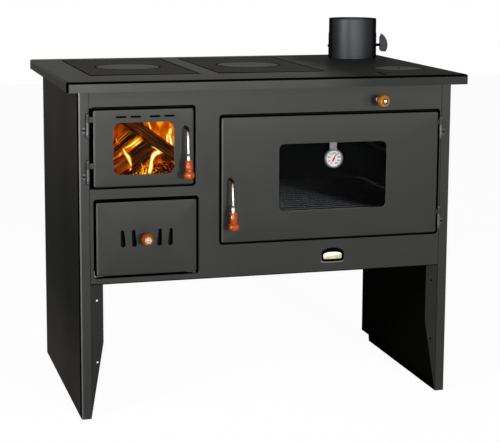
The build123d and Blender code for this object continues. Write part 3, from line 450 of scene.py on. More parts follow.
def past_outline(x, z, name, grow, grow_top, r):
    """Distance outside a rounded box round a node's front, negative inside:
    |max(q, 0)| + min(max(q_x, q_z), 0) - r with q = |p - middle| - half + r."""
    low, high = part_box(name)
    over = [minus(size_of(minus(value, (a + b) / 2)), (b - a) / 2 - r) for value, a, b in (
        (x, low.x - grow, high.x + grow), (z, low.z - grow, high.z + grow_top))]
    outer = add("CombineXYZ", X=most(over[0], 0.0), Y=most(over[1], 0.0)).outputs[0]
    return minus(plus(length_of(outer), least(most(*over), 0.0)), r)


def panel_shades(x, y, z):
    """Black painted shade round the three openings, where the sheet is bent in, along the lower
    edge and behind the front."""
    return [(mask, painted_shade_and_black) for mask in (
        *(band(past_outline(x, z, name, grow, top, 0.008), -far, 0.0, 0.0003)
          for name, (grow, top) in zip(fronts, ((0.0049, 0.0062), (0.0049, 0.0062),
                                                (0.0056, 0.0066)))),
        band(z, -far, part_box("front_panel")[0].z + 0.0020, 0.0004),
        band(y, face_y + 0.0006, far, 0.0004))]


def door_shades(name):
    """Painted shade and light of a door: black painted shade where its edge is rounded off,
    and a painted highlight beside that on the left."""
    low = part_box(name)[0]
    return lambda x, y, z: [
        (band(x, -far, low.x + 0.0040, 0.0008), door_edge_highlight),
        (band(past_outline(x, z, name, -0.0009, -0.0014, 0.006), 0.0, far, 0.0003), painted_shade_and_black),
        (band(y, low.y + 0.0012, far, 0.0004), painted_shade_and_black)]


# %% Coats of the sheets
matt = {"Specular_IOR_Level": 0.0}
fine = {"bump_distance": 0.0003, **matt}


def satin(name, group):
    """The body's paint, with the few flakes that shine through it."""
    return finish(name, group, bump=0.12, **fine, Base=(0.052, 0.052, 0.0495),
                  Gloss=0.30, Metallic=0.14, Specular_Tint=0.0)


body_paint = satin("body paint", paint)
# The front sheet, doors and side sheets carry painted shade and painted highlights.
panel_paint = satin("front sheet paint", shaded_paint("front_sheet_paint", panel_shades))
door_paint = {name: satin(f"{name} paint", shaded_paint(f"{name}_paint", door_shades(name)))
              for name in fronts}
side_paint = satin("side sheet paint", shaded_paint("side_sheet_paint", side_shades))
# The hob's fold line is painted shade, and fewer flakes on its right part paint a darker
# reflection.
hob_coat = shaded_paint("hob_sheet_paint", lambda *place: [(hob_fold_shade(*place), painted_shade_and_black)], hob_flakes)
hob_paint = finish("hob paint", hob_coat, bump=0.15, **fine, Base=(0.042, 0.042, 0.0398),
                   Gloss=0.36, Clouds=0.3, Specular_Tint=(0.65, 0.65, 0.61))
flue_paint = finish("flue paint", paint, bump=0.1, **fine, Base=(0.024, 0.025, 0.027),
                    Gloss=0.42, Metallic=0.8, Specular_Tint=0.0)
# The damper's spindle is black; its wing keeps the paint.
wing_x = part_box("flue_damper")[1].x - 0.0235
damper_coat = shaded_paint("damper_coat", lambda x, y, z: [(band(x, -far, wing_x), painted_shade_and_black)])
damper_paint = finish("damper paint", damper_coat, bump=0.3, **fine,
                      Base=(0.062, 0.062, 0.067), Gloss=0.40, Clouds=0.5, Metallic=0.15)
black_trim = finish("black trim", paint, Base=0.004, Gloss=0.4, Clouds=0.0, **matt)
print("paints", body_paint.name, side_paint.name, hob_paint.name, flue_paint.name)

# %% [markdown]
# Bare metal shows how it was worked: rolled plate has long faint streaks, and a casting
# a sandy skin. The streaks are a noise that each material's Mapping squeezes along an
# axis.

# %% Metals
metal, here, base, stain, share, gloss, fineness = new_group(
    "worked_metal", ("Base", (0.4, 0.4, 0.4)), ("Stain", (0.2, 0.18, 0.15)), ("Streaks", 0.3),
    ("Gloss", 0.3), ("Fineness", 300.0))
streak, patch = noise(here, fineness, 3.0), noise(here, 9, 4, 0.6)
toned = blended(times(remap(patch, 0.45, 0.75), 0.6), base, stain)
give(metal, Colour=blended(times(streak, share), toned, stain),
     Roughness=times_plus(streak, 0.15, gloss), Height=streak)


def worked(name, base, stain, gloss, metallic, **values):
    """A bare metal's finish."""
    return finish(name, metal, Base=base, Stain=stain, Gloss=gloss, Metallic=metallic,
                  **values)


sheet_steel = worked("sheet steel", (0.30, 0.30, 0.31), (0.20, 0.19, 0.18), 0.38, 0.9, bump=0.1,
                     stretch=(1, 1, 6))
dark_steel = worked("dark oven steel", (0.014, 0.015, 0.016), (0.007, 0.007, 0.008), 0.45, 0.0,
                    bump=0.1, **matt)
plate_steel = worked("hob plate steel", (0.062, 0.060, 0.054), (0.040, 0.037, 0.032), 0.42, 0.3,
                     bump=0.15, stretch=(1, 0.1, 1), Fineness=160.0, **matt,
                     Specular_Tint=(0.40, 0.37, 0.33))
bright_steel = worked("bright steel", (0.80, 0.80, 0.81), (0.62, 0.62, 0.63), 0.10, 1.0,
                      stretch=(1, 1, 0.2), Streaks=0.15)
satin_steel = worked("satin steel", (0.20, 0.20, 0.21), 0.10, 0.36, 0.85, bump=0.15)
hinge_paint = worked("hinge paint", 0.07, 0.035, 0.34, 0.5, bump=0.15, **matt)
case_steel = worked("brushed case", (0.11, 0.11, 0.113), 0.02, 0.22, 1.0, Streaks=0.5,
                    Fineness=120.0)
ferrule_steel = worked("ferrule steel", (0.20, 0.20, 0.21), (0.05, 0.045, 0.04), 0.20, 1.0,
                       stretch=(1, 1, 0.12), Streaks=0.7, Fineness=260.0)
cup_brass = worked("cup brass", (0.50, 0.44, 0.30), (0.10, 0.07, 0.04), 0.30, 0.4, Streaks=0.6)
cast_iron = worked("cast iron", (0.055, 0.054, 0.052), (0.10, 0.07, 0.05), 0.6, 0.3, bump=0.4,
                   Fineness=500.0)
badge_metal = worked("badge metal", (0.66, 0.61, 0.46), (0.34, 0.28, 0.16), 0.30, 0.3, bump=0.1,
                     Streaks=0.4)

# %% [markdown]
# The lids were faced on a lathe and catch the light in thin rings. These follow the
# distance from the lid's middle, which a Mapping node brings to the origin.

# %% Turned steel of the lids
rings, here, base, dark, gloss = new_group(
    "turned_rings", ("Base", (0.1, 0.1, 0.1)), ("Dark", (0.06, 0.06, 0.055)), ("Gloss", 0.36))
flat = add("VectorMath", operation="MULTIPLY", _0=here, _1=(1, 1, 0)).outputs[0]
groove = add("TexNoise", noise_dimensions="1D", W=length_of(flat), Scale=900.0,
             Detail=2.0).outputs["Fac"]
worn = times(plus(groove, noise(here, 14, 4, 0.6)), 0.5)
give(rings, Colour=blended(worn, base, dark), Roughness=times_plus(groove, 0.2, gloss),
     Height=groove)
lid_steel = {}
for side, lid, sheen in (
        ("left", "hob_lid_left", 0.74), ("right", "hob_lid_right", 0.71),
        ("cover", "soot_cover", 0.45)):
    lid_steel[lid] = finish(
        f"{side} lid steel", rings, bump=0.1, bump_distance=0.0002, Base=(0.125, 0.125, 0.12),
        Dark=(0.085, 0.085, 0.08), Metallic=0.3, **matt, Specular_Tint=sheen)
    place = lid_steel[lid].node_tree.nodes["Mapping"]
    place.inputs["Location"].default_value = (*-middle_of(lid)[:2], 0)

# %% [markdown]
# The grips and knobs are orange-stained wood. Growth rings are warped distances from an
# axis, pores are thin streaks along it, and the varnish is the shader's coat.

# %% Wood
timber, here, light, dark = new_group(
    "varnished_wood", ("Light", (0.7, 0.2, 0.03)), ("Dark", (0.35, 0.06, 0.01)))
bands = add("TexWave", wave_type="RINGS", rings_direction="Z", Vector=here, Scale=70.0,
            Distortion=4.0, Detail=2.0, Detail_Scale=1.2).outputs["Fac"]
pores = noise(scaled(here, (900, 900, 60)), 1.0, 2)
late = times_plus(bands, 0.55, times(noise(here, 30, 3), 0.35))
give(timber, Colour=blended(remap(pores, 0.62, 0.8, 0.0, 0.5), blended(late, light, dark), dark),
     Roughness=remap(bands, 0, 1, 0.32, 0.42), Height=pores)
varnish = {"bump": 0.05, "bump_distance": 0.0002}
grip_wood = finish(
    "varnished wood", timber, **varnish, Light=(0.88, 0.155, 0.002), Dark=(0.46, 0.06, 0.001),
    **matt, Coat_Weight=0.45, Coat_Roughness=0.04, Coat_IOR=1.4)
knob_wood = finish(
    "light varnished wood", timber, **varnish, Light=(1.0, 0.34, 0.004), Dark=(0.80, 0.19, 0.003),
    Specular_IOR_Level=0.05, Coat_Weight=0.22, Coat_Roughness=0.05, Coat_IOR=1.35)

# %% [markdown]
# Firebrick is pale, gritty and scorched; the rope seals are grey glass fibre. Both use
# one mottled group.

# %% Mineral materials
gritty, here, base, sooty, sooted, fineness = new_group(
    "gritty_mineral", ("Base", (0.6, 0.5, 0.4)), ("Soot", (0.1, 0.08, 0.07)), ("Sooted", 0.5),
    ("Fineness", 250.0))
specks, patch = noise(here, fineness, 5.0), noise(here, 11, 4, 0.6)
speckled = blended(remap(specks, 0.4, 0.7, 0.0, 0.4), base, sooty)
give(gritty, Colour=blended(times(remap(patch, 0.3, 0.7), sooted), speckled, sooty),
     Roughness=remap(specks, 0, 1, 0.8, 0.95), Height=specks)
brick_clay = finish("firebrick clay", gritty, bump=0.5, Base=(0.40, 0.30, 0.20),
                    Soot=(0.05, 0.04, 0.035), Sooted=0.75)
fibre_rope = finish("fibre rope", gritty, bump=0.6, bump_distance=0.0005,
                    Base=(0.30, 0.30, 0.29), Soot=0.12, Sooted=0.3, Fineness=900.0)

# %% [markdown]
# The fire door's glass is clear. The oven's is dark: the oven behind it can hardly be
# seen.

# %% Glass
pane, here, tint, haze = new_group("pane_streaks", ("Tint", (1, 1, 1)), ("Haze", 0.02))
film = noise(here, 25, 3)
give(pane, Colour=blended(times(film, 0.12), tint, 0.2), Roughness=times(film, haze),
     Height=film)
fire_glass, oven_glass, dial_glass = (
    finish(f"{name} glass", pane, Tint=tint, Transmission_Weight=1.0, IOR=ior)
    for name, tint, ior in (("fire", (1, 0.99, 0.97), 1.06), ("oven", (0.40, 0.415, 0.43), 1.08),
                            ("dial", 1, 1.15)))

# %% [markdown]
# Each CAD node keeps its shape and gets its finish. Its mesh is loose triangles: a Weld
# modifier joins them, so that pins shade as round, and an Edge Split keeps folds crisp.

# %% Dress the CAD nodes
dial_white = finish("dial enamel", paint, Base=(0.42, 0.42, 0.41), Gloss=0.25, Clouds=0.02)
pointer_red = finish("pointer red", paint, Base=(0.20, 0.004, 0.003), Gloss=0.25,
                     Clouds=0.05, **matt)
dress = {
    side_paint: "side_panel_left side_panel_right", panel_paint: "front_panel",
    **{look: name for name, look in (door_paint | lid_steel).items()},
    body_paint: "fire_hinge_ears oven_hinge_ears", hob_paint: "hob_top",
    flue_paint: "flue_collar", damper_paint: "flue_damper",
    plate_steel: "hob_plate_left hob_plate_right",
    sheet_steel: "back_panel bottom_panel drawer_runners bypass_guide bypass_plate "
                 "fire_glass_clips oven_glass_clips fire_latch_cam oven_latch_cam",
    dark_steel: "oven_box ash_housing firebox_shell smoke_baffle ash_pan fire_door_liner "
                "oven_door_liner",
    satin_steel: "rack_runners", black_trim: "pan_head_screws",
    hinge_paint: "hinge_brackets hinge_pins", case_steel: "thermometer_case",
    bright_steel: "oven_rack bypass_rod fire_handle_rod fire_handle_ferrule oven_handle_rod "
                  "oven_handle_ferrule ash_knob_cap bypass_knob_cap",
    cast_iron: "grate", brick_clay: "firebricks",
    fibre_rope: "fire_door_seal oven_door_seal oven_glass_gasket",
    grip_wood: "fire_handle_grip oven_handle_grip ash_knob", knob_wood: "bypass_knob",
    fire_glass: "fire_door_glass", oven_glass: "oven_door_glass", dial_glass: "thermometer_glass",
    dial_white: "thermometer_dial", pointer_red: "thermometer_pointer", badge_metal: "name_plate"}
for material, names in dress.items():
    for name in names.split():
        node = nodes[name]
        node.data.materials.clear()
        node.data.materials.append(material)
        node.data.shade_smooth()
        node.modifiers.new("joined", "WELD").merge_threshold = 2e-6
        creased(node, 30)
print("dressed", sum(len(n.split()) for n in dress.values()), "of", len(nodes), "nodes")

# %% [markdown]
# Each door handle is a bright rod that goes in through a black bush in the door, bends
# down and ends in a turned wooden grip below a ferrule. It leans out a little, so that a
# hand can get behind it. The rod is painted brown towards the bend and black at its top,
# as painted shade and reflection.

# %% Door handles
# Painted shade and reflection: the rod turns brown towards its bend and black at the top.
bend_shaded, here, darkest, unshaded = new_group("rod_bend_shade", ("Hot", 0.7), ("Cool", 0.67))
scratch = noise(scaled(here, (1, 1, 0.1)), 700, 2)
shade_share = remap(add("SeparateXYZ", Vector=here).outputs["Z"], unshaded, darkest)
brown_shade = blended(remap(shade_share, 0.0, 0.5), (0.085, 0.085, 0.088), (0.035, 0.023, 0.016))
give(bend_shaded, Colour=blended(remap(shade_share, 0.75, 1.0), brown_shade, (0.006, 0.005, 0.004)),
     Roughness=remap(scratch, 0, 1, 0.16, 0.30), Height=scratch)
bush_profile = [(-2, 0), (-2, 4.4), (0, 4.4), (1.2, 4.2), (1.8, 3.8), (1.8, 0)]
grip_profile = smooth_profile([
    (0, 3.5), (0.2, 9.2), (1.4, 10.2), (3.8, 10.0), (5.4, 8.3), (9, 8.5), (14, 9.2), (19, 9.0),
    (23.5, 8.2), (26, 8.7), (28.2, 11.4), (31, 12.9), (35, 13.5), (39, 12.7), (42.6, 9.8),
    (45, 4.4), (45.5, 0)])
ferrule_profile = [
    (0, 3.5), (0, 4.3), (1.2, 5.0), (2.0, 4.4), (5, 6.0), (7, 6.1), (7.6, 5.5), (8.4, 5.5),
    (9, 6.1), (13, 6.0), (13.6, 5.4), (14.4, 5.4), (15, 6.0), (16, 6.0), (16, 3.5)]
rod_r, bend_r, drop, lean_out = 0.0035, 0.011, 121, 12
lean, reach = math.atan2(lean_out, drop), math.hypot(lean_out, drop)
hang = np.array([0, -math.sin(lean), -math.cos(lean)])
for door, x, z in (("fire", 257.0, 704.0), ("oven", 367.5, 573.5)):
    handle, corner = f"{door}_handle", spot(x, -26, z)
    rod_end, ferrule_top, grip_top = (corner + hang * (reach - up) / 1000
                                      for up in (17, 61.5, 45.5))
    rod_steel = finish(f"{door} rod steel", bend_shaded, Metallic=1.0,
                       Hot=(z + 1) / 1000, Cool=(z - 26) / 1000)
    rod(f"{handle}_bar", bent(spot(x, 26.2, z), corner, rod_end, bend_r), rod_r, (1, 0, 0),
        rod_steel, handle, "bright_steel", f"{handle}_rod")
    turned(f"{handle}_collar", ferrule_top, hang, ferrule_profile, ferrule_steel, handle,
           "bright_steel", f"{handle}_ferrule")
    turned(f"{handle}_bush", spot(x, -3.0, z), (0, -1, 0), bush_profile, black_trim,
           f"{door}_door", "hinge_steel")
    turned(f"{door}_turned_grip", grip_top, hang, grip_profile, grip_wood, handle, "wood",
           f"{handle}_grip")
print("handles done")

# %% [markdown]
# The pulls of the ash drawer and the smoke bypass are wooden balls on bright stems, and
# the drawer's sits 11 mm closer. A cup is let into the front of each ball, round the
# screw that holds it.

# %% Knobs
ball_profile = smooth_profile([(23.5, 6.0), (24.2, 9.5), (28.2, 12.2), (33, 14.4), (38, 15),
                               (43, 14.1), (47, 11.9), (49.4, 9.6)], 5)
ball_profile = np.vstack([[(23.5, 0)], ball_profile, [(49.4, 8.5), (46, 8.5), (46, 0)]])
cup_profile = [(46.0, 0), (46.0, 8.5), (50.2, 8.5), (51.0, 7.9), (51.0, 7.0), (50.4, 6.4),
               (48.4, 6.0), (48.2, 0)]
screw_profile = [(47.8, 0), (47.8, 3.6), (49.6, 3.6), (50.5, 2.9), (50.8, 1.6), (50.9, 0)]
for pull, body, x, z, sunk, wood, cup, screw in (
        ("ash", "ash_drawer", 157.75, 440.5, 11.0, grip_wood, cup_brass, satin_steel),
        ("bypass", "bypass_pull", 746.0, 759.0, 0.0, knob_wood, hinge_paint, bright_steel)):
    foot = 3.0 + sunk
    stem_profile = [(foot, 0), (foot, 7.5), (foot + 1.2, 7.5), (foot + 2, 6.2), (20, 5.2),
                    (21, 6.6), (23.6, 6.6), (23.6, 0)]
    for part, profile, look_of, slot_name, replaced in (
            ("ball", ball_profile, wood, "wood", f"{pull}_knob"),
            ("stem", stem_profile, satin_steel, "bright_steel", None),
            ("cup", cup_profile, cup, "bright_steel", f"{pull}_knob_cap"),
            ("screw", screw_profile, screw, "bright_steel", None)):
        turned(f"{pull}_knob_{part}", spot(x, sunk, z), (0, -1, 0), profile, look_of, body,
               slot_name, replaced)
print("knobs done")

# %% [markdown]
# The thermometer's dial has printed numbers and ticks, and a black ring round its edge is
# a painted shadow of the bezel. The numbers are text turned into a flat mesh; the ticks are
# narrow bars set on a circle.

# %% Dial print
print_black = finish("dial print", paint, Base=(0.02, 0.02, 0.022), Gloss=0.4,
                     Clouds=0.0, Specular_IOR_Level=0.2)
dial_mid = middle_of("thermometer_dial")
dial_mid[1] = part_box("thermometer_dial")[0].y
sweep, shadow_ring_r, tick_r, number_r, steps, marks = 150, 20.1, 19.6, 13.6, 40, 8
number_size, bolder = 0.0054, 0.0002


def on_dial(points):
    """Flat (right, up) millimetres from the dial's middle to frame points just before it."""
    p = np.asarray(points, float) / 1000
    return dial_mid + np.column_stack([p[:, 0], np.full(len(p), -1e-4), p[:, 1]])


def ray(degrees):
    """Directions out from the dial's middle and along its edge, clockwise from the top."""
    s, c = math.sin(math.radians(degrees)), math.cos(math.radians(degrees))
    return np.array([s, c]), np.array([c, -s])


bars = []
for n, degrees in enumerate(np.linspace(-sweep, sweep, steps + 1)):
    out, along = ray(degrees)
    long, half = (3.0, 0.42) if n % (steps // marks) == 0 else (1.4, 0.16)
    bars += [out * (tick_r - long) - along * half, out * (tick_r - long) + along * half,
             out * tick_r + along * half, out * tick_r - along * half]
piece("dial_ticks", on_dial(bars), np.arange(len(bars)).reshape(-1, 4), print_black, "oven_door",
      "dial_white")
for n, degrees in enumerate(np.linspace(-sweep, sweep, marks + 1)):
    text = bpy.data.curves.new("number", "FONT")
    text.body, text.size, text.offset = str(50 * n), number_size, bolder
    text.align_x = text.align_y = "CENTER"
    holder = bpy.data.objects.new("number", text)
    scene.collection.objects.link(holder)
    solved = holder.evaluated_get(bpy.context.evaluated_depsgraph_get())
    flat = bpy.data.meshes.new_from_object(solved)
    verts = on_dial(np.array([v.co[:2] for v in flat.vertices]) * 1000 + number_r * ray(degrees)[0])
    bpy.data.objects.remove(holder)
    tied(shape(f"dial_number_{n}", verts, [p.vertices for p in flat.polygons], print_black),
         "oven_door")
flat_axes, upright_axes = ((1, 0, 0), (0, 1, 0)), ((1, 0, 0), (0, 0, 1))
# A black ring round the dial's edge is a painted shadow of the bezel.
bead("dial_shadow_ring", dial_mid - (0, 2e-4, 0), upright_axes, loop_of(shadow_ring_r, shadow_ring_r, shadow_ring_r, 16),
     round_section * 0.55, print_black, "oven_door", "bright_steel")
print("dial printed")

# %% [markdown]
# The name plate under the oven door is a dark arched frame round a pale metal field.
# Frame, lip and field are pillows over one outline, at three sizes.

# %% Name plate
a = circle(96)


def arched(half_w, half_h, arch, power=6.0):
    """Outline: a superellipse |x/w|^n + |z/h|^n = 1 whose top is lifted by
    arch * (1 - (x/w)^2)."""
    c, s = np.cos(a), np.sin(a)
    x = half_w * np.sign(c) * abs(c) ** (2 / power)
    z = half_h * np.sign(s) * abs(s) ** (2 / power)
    return x, z + np.where(s > 0, arch * (1 - (x / half_w) ** 2) * abs(s) ** (2 / power), 0)


def pillow(name, outline, lift, layers, material, replaced=None):
    """Stacks scaled copies of an outline: each layer is (scale, mm in front of the
    sheet), and the first and last close at the middle."""
    x, z = outline
    middle = middle_of("name_plate") + (0, 0, (lift - 5.0) / 1000)
    middle[1] = face_y
    rows = [middle + np.column_stack([x * k, np.full(len(a), -y), z * k]) / 1000 for k, y in layers]
    creased(piece(name, rows, quads(len(layers), len(a)), material, "stove", "badge", replaced), 50)


pillow("badge_frame", arched(30, 13, 10), 0, [(0, 0), (1, 0), (1, 0.7), (0.98, 1.1), (0.84, 1.1),
       (0.8, 0.5), (0, 0.5)], black_trim, "name_plate")
pillow("badge_lip", arched(30.2, 13, 8), -2.2, [(0, 0), (1, 0), (1, 0.3), (0.97, 0.5), (0, 0.5)],
       satin_steel)
pillow("badge_field", arched(24, 7.2, 4), 0.8, [(0, 0.4), (1, 0.4), (1, 0.8), (0.96, 1.15),
       (0, 1.15)], badge_metal)
print("name plate done")

# %% [markdown]
# A rope seal of twisted glass fibre runs round the back of each door. Its section is a
# circle with three lobes that turn as it goes round the loop.

# %% Rope seals
rope_r, rope_step, rope_pitch, rope_sides, lobe = 0.004, 0.003, 0.03, 18, 0.14
rope_in, rope_corner = 0.0041, 0.012
for door in ("fire", "oven"):
    low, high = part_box(f"{door}_door_seal")
    loop, _ = loop_of((high.x - low.x) / 2 - rope_in, (high.z - low.z) / 2 - rope_in, rope_corner)
    loop = np.vstack([loop, loop[:1]])
    way = np.r_[0, np.cumsum(np.linalg.norm(np.diff(loop, axis=0), axis=1))]
    along = np.linspace(0, way[-1], int(way[-1] / rope_step), endpoint=False)
    line = np.column_stack([np.interp(along, way, loop[:, k]) for k in range(2)])
    tangent = unit(np.roll(line, -1, 0) - np.roll(line, 1, 0))
    normal = np.column_stack([tangent[:, 1], -tangent[:, 0]])
    b = circle(rope_sides)
    lobes = 1 - lobe * np.cos(3 * (b[None, :] - along[:, None] * 2 * np.pi / rope_pitch)) ** 2
    out = np.cos(b) * rope_r * lobes
    verts = middle_of(f"{door}_door_seal") + np.stack([
        line[:, :1] + normal[:, :1] * out, np.sin(b) * (high.y - low.y) / 2 * lobes,
        line[:, 1:] + normal[:, 1:] * out], -1)
    piece(f"{door}_rope", verts, quads(len(along), rope_sides, loop=True), fibre_rope,
          f"{door}_door", "rope", f"{door}_door_seal")
    print(door, "rope", len(along), "steps")

# %% [markdown]
# Flat black rings mark the joints of the hob: on the edges of the lift-out plates and
# lids, and round the cover of the sweeping hole. A plate's ring is widened in front, most
# at the left, as a painted shadow of the plate's front edge. A bead lines a narrow slot by
# the flue.

# %% Joints of the hob


def joint_line(name, node, outer, inner, body, slot_name):
    """Flat black ring, 0.5 mm thick, between two loops (n, 2) in mm round a node's top."""
    middle = middle_of(node)
    middle[2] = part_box(node)[1].z
    verts = np.stack([np.column_stack([loop, np.full(len(loop), z)])
                      for loop, z in ((outer, -0.2), (outer, 0.3), (inner, 0.3), (inner, -0.2))])
    piece(name, verts / 1000 + middle, quads(4, len(outer), loop=True), black_trim, body, slot_name)


def round_joint(name, node, width, *ties):
    """Joint ring inside the edge of a round node, width mm wide."""
    low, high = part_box(node)
    ring, radius = loop_of(1, 1, 1, 18)[0], (high.x - low.x) * 500
    joint_line(name, node, ring * (radius - 0.1), ring * (radius - width), *ties)


for side in ("left", "right"):
    low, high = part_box(f"hob_plate_{side}")
    half_w, half_d = (high.x - low.x) * 500, (high.y - low.y) * 500
    outer = loop_of(half_w + 0.8, half_d + 0.8, 3)[0]
    # The ring is widened in front, most at the left, as a painted shadow of the plate's front edge.
    shadow_taper = np.clip((outer[:, 0] + half_w) / (2 * half_w), 0, 1)
    front = np.where(outer[:, 1] < 0, 22 - 16 * shadow_taper**0.5, 5.5)
    inner = outer - np.sign(outer) * np.column_stack([np.full_like(front, 4.4), front])
    joint_line(f"plate_joint_{side}", f"hob_plate_{side}", outer, inner, f"{side}_plate",
               "plate_steel")
    round_joint(f"lid_joint_{side}", f"hob_lid_{side}", 3.4, f"{side}_lid", "lid_steel")
round_joint("cover_joint", "soot_cover", 1.5, "stove", "hob_steel")
slot_half_w, slot_half_d, lining_r = 1.2, 28.5, 1.1
bead("slot_lining", spot(766, 32, 820.1), flat_axes,
     loop_of(slot_half_w, slot_half_d, lining_r, 6), round_section * lining_r, black_trim,
     "stove", "hob_steel")
print("hob joints done")

# %% [markdown]
# The windows are framed by a thin steel bead, and behind the air slots of the fire door
# lies a black slide.

# %% Window beads and air slide
for door, x, z, w, h, r in (
        ("fire", 155.25, 656.75, 73.75, 62.75, 18), ("oven", 629.5, 572.5, 140, 83.5, 14)):
    bead(f"{door}_window_bead", spot(x, -2.9, z), upright_axes, loop_of(w, h, r),
         round_section * 0.45, hinge_paint, f"{door}_door", "hinge_steel")
slide_section = [(0, 0), (0, 0.8), (-6, 0.8), (-6, 0)]
bead("air_slide", spot(155, 1.0, 732.7), upright_axes, loop_of(84, 6, 1, 4), slide_section,
     black_trim, "fire_door", "sheet_steel")
print("window beads and slide done")

# %% [markdown]
# The fire draws the eye: charred split logs leaning on each other, flames between them
# and embers below. A log is a bar with a rough square section. Its surface tells the
# material where it lies in the grain, and how hot it is.

# %% Where the fire shows
fire_rng = np.random.default_rng(7)
sight_x, sight_z = 0.28, 0.157


def seen_at(x, z, depth):
    """Frame points that the camera sees at (x, z) of the window, at a depth behind it: for
    each mm of depth the line of sight goes sight_x to the right and sight_z down."""
    return spot(x + sight_x * depth, depth, z - sight_z * depth)


def hotness(verts, places):
    """Sum of soft spots a * exp(-d^2 / s^2), d measured in the window: (x, z, s, a)."""
    depth = (verts[..., 1] - face_y) * 1000
    x = (verts[..., 0] - left_x) * 1000 - sight_x * depth
    z = verts[..., 2] * 1000 + sight_z * depth
    return sum(a * np.exp(-((x - px) ** 2 + (z - pz) ** 2) / s**2) for px, pz, s, a in places)


# %% [markdown]
# One group turns heat into colour: black char, dark red, orange, yellow and white. The
# logs add streaks along their grain, and the flames add slow wisps.

# %% Fire materials
glowing, here, warmth, contrast, fade, grain = new_group(
    "glowing_heat", ("Heat", 0.5), ("Streaks", 0.3), ("Fade", 0.0), ("Grain", None),
    more=[("Glow", "Color"), ("Solid", "Float")])
streak = remap(noise(grain, 1.0, 1.5, 0.5), 0.46, 0.60)
wisp = remap(noise(here, 60, 3), 0.3, 0.7)
heat = plus(warmth, times(minus(streak, 0.5), contrast))
heat = plus(heat, times(minus(wisp, 0.5), 0.12))
ramp = add("ValToRGB", _0=heat)
stops = [(0.0, (0.001, 0.0, 0.0)), (0.2, (0.005, 0.001, 0.0)), (0.36, (0.05, 0.005, 0.0)),
         (0.52, (0.42, 0.05, 0.0)), (0.68, (0.95, 0.20, 0.001)), (0.82, (1.0, 0.60, 0.004)),
         (0.94, (1.0, 0.86, 0.10)), (1.0, (1.0, 0.98, 0.66))]
while len(ramp.color_ramp.elements) < len(stops):
    ramp.color_ramp.elements.new(0.5)
for element, (place, colour) in zip(ramp.color_ramp.elements, stops):
    element.position, element.color = place, (*colour, 1)
give(glowing, Glow=ramp.outputs[0], Height=streak, Roughness=remap(streak, 0, 1, 0.7, 0.95),
     Colour=blended(streak, (0.003, 0.002, 0.001), (0.03, 0.011, 0.004)),
     Solid=most(remap(heat, 0.30, 0.62), minus(1.0, fade)))


def fire_material(name, streaks, fade, strength, bump=0.0):
    """Material of a burning thing: its heat and grain come from the mesh's attributes."""
    material = finish(name, glowing, bump, Streaks=streaks, Fade=fade,
                      Emission_Strength=strength, **matt)
    tree = material.node_tree
    look_of, shader = tree.nodes["Group"], tree.nodes["Principled BSDF"]
    for label, attribute, kind in (("Heat", "warmth", "Fac"), ("Grain", "grain", "Vector")):
        read = add("Attribute", tree, attribute_name=attribute).outputs[kind]
        put(look_of.inputs[label], read)
    put(shader.inputs["Emission Color"], look_of.outputs["Glow"])
    if fade:
        put(shader.inputs["Alpha"], look_of.outputs["Solid"])
    return material


log_char = fire_material("charred log", 0.85, 0.0, 1.0, bump=0.8)
ember_glow = fire_material("embers", 0.80, 0.0, 1.0, bump=0.8)
flame_glow = fire_material("flame", 0.10, 1.0, 1.15)
backdrop_glow = fire_material("fire glow", 0.16, 0.0, 1.0)


def burning(name, verts, faces, heat, grain, material):
    """Piece of the fire with its heat and grain attributes."""
    made = shape(name, verts, faces, material)
    for label, kind, key, values in (
            ("warmth", "FLOAT", "value", heat),
            ("grain", "FLOAT_VECTOR", "vector", np.stack(grain, -1))):
        made.data.attributes.new(label, kind, "POINT").data.foreach_set(key, np.ravel(values))
    made.data.shade_smooth()
    tied(made, "stove")


# %% Logs
glow_spots = [
    (104, 655, 6, 0.5), (120, 668, 5.5, 0.5), (134, 679, 5, 0.55), (144, 686, 5, 0.5),
    (112, 640, 7, 0.35), (118, 612, 8, 0.3), (172, 625, 10, 0.30), (176, 650, 8, 0.4),
    (190, 642, 8, 0.35), (212, 668, 9, 0.25), (150, 604, 8, 0.3), (95, 615, 16, 0.10),
    (86, 690, 16, 0.2), (105, 690, 14, 0.12), (160, 620, 14, 0.1)]
char, grain_along, grain_across = -0.03, 9, 320


def split_log(name, start, end, width, height, seed, warmth=0.0):
    """Bar from start to end with a rounded square section,
    r = half / (|cos|^5 + |sin|^5)^(1/5), roughened by sums of sines along and round it."""
    rng = np.random.default_rng(seed)
    start, end = seen_at(*start), seen_at(*end)
    length = np.linalg.norm(end - start)
    axis = (end - start) / length
    side = unit(np.cross(axis, [0, 1, 0]))
    t = np.r_[0, 0, np.linspace(0, 1, 46), 1, 1][:, None]
    closing = np.r_[0, 0.94, np.ones(46), 0.94, 0][:, None]
    b = circle(56)
    section = (abs(np.cos(b)) ** 5 + abs(np.sin(b)) ** 5) ** -0.2
    rough = sum(rng.uniform(0.2, 1) * np.sin(n * b + rng.uniform(0, 6) + t * rng.uniform(-9, 9))
                for n in (2, 3, 5, 9, 14, 23)) * 0.016
    r = section * (1 + rough) * closing
    wide, high = np.cos(b) * width * r, np.sin(b) * height * r
    verts = (start + t[..., None] * axis * length + wide[..., None] / 2 * side
             + high[..., None] / 2 * np.cross(axis, side))
    grain = (t * length * grain_along + 0 * r, wide * grain_across, high * grain_across)
    burning(name, verts, quads(*r.shape), char + warmth + hotness(verts, glow_spots), grain,
            log_char)


split_log("log_left", (40, 630, 96), (122, 700.5, 96), 0.031, 0.034, 1, 0.10)
split_log("log_crossing", (92, 738, 70), (236, 633, 70), 0.029, 0.030, 2)
split_log("log_middle", (92, 606, 100), (176, 668, 112), 0.046, 0.040, 3)
split_log("log_low", (44, 588, 72), (107, 628, 78), 0.036, 0.034, 4, 0.09)
split_log("log_rear", (150, 640, 190), (60, 700, 300), 0.060, 0.055, 5)
print("logs laid")

# %% [markdown]
# The embers are one lumpy mound on the grate, a height over a flat grid that falls to
# nothing at the firebricks.

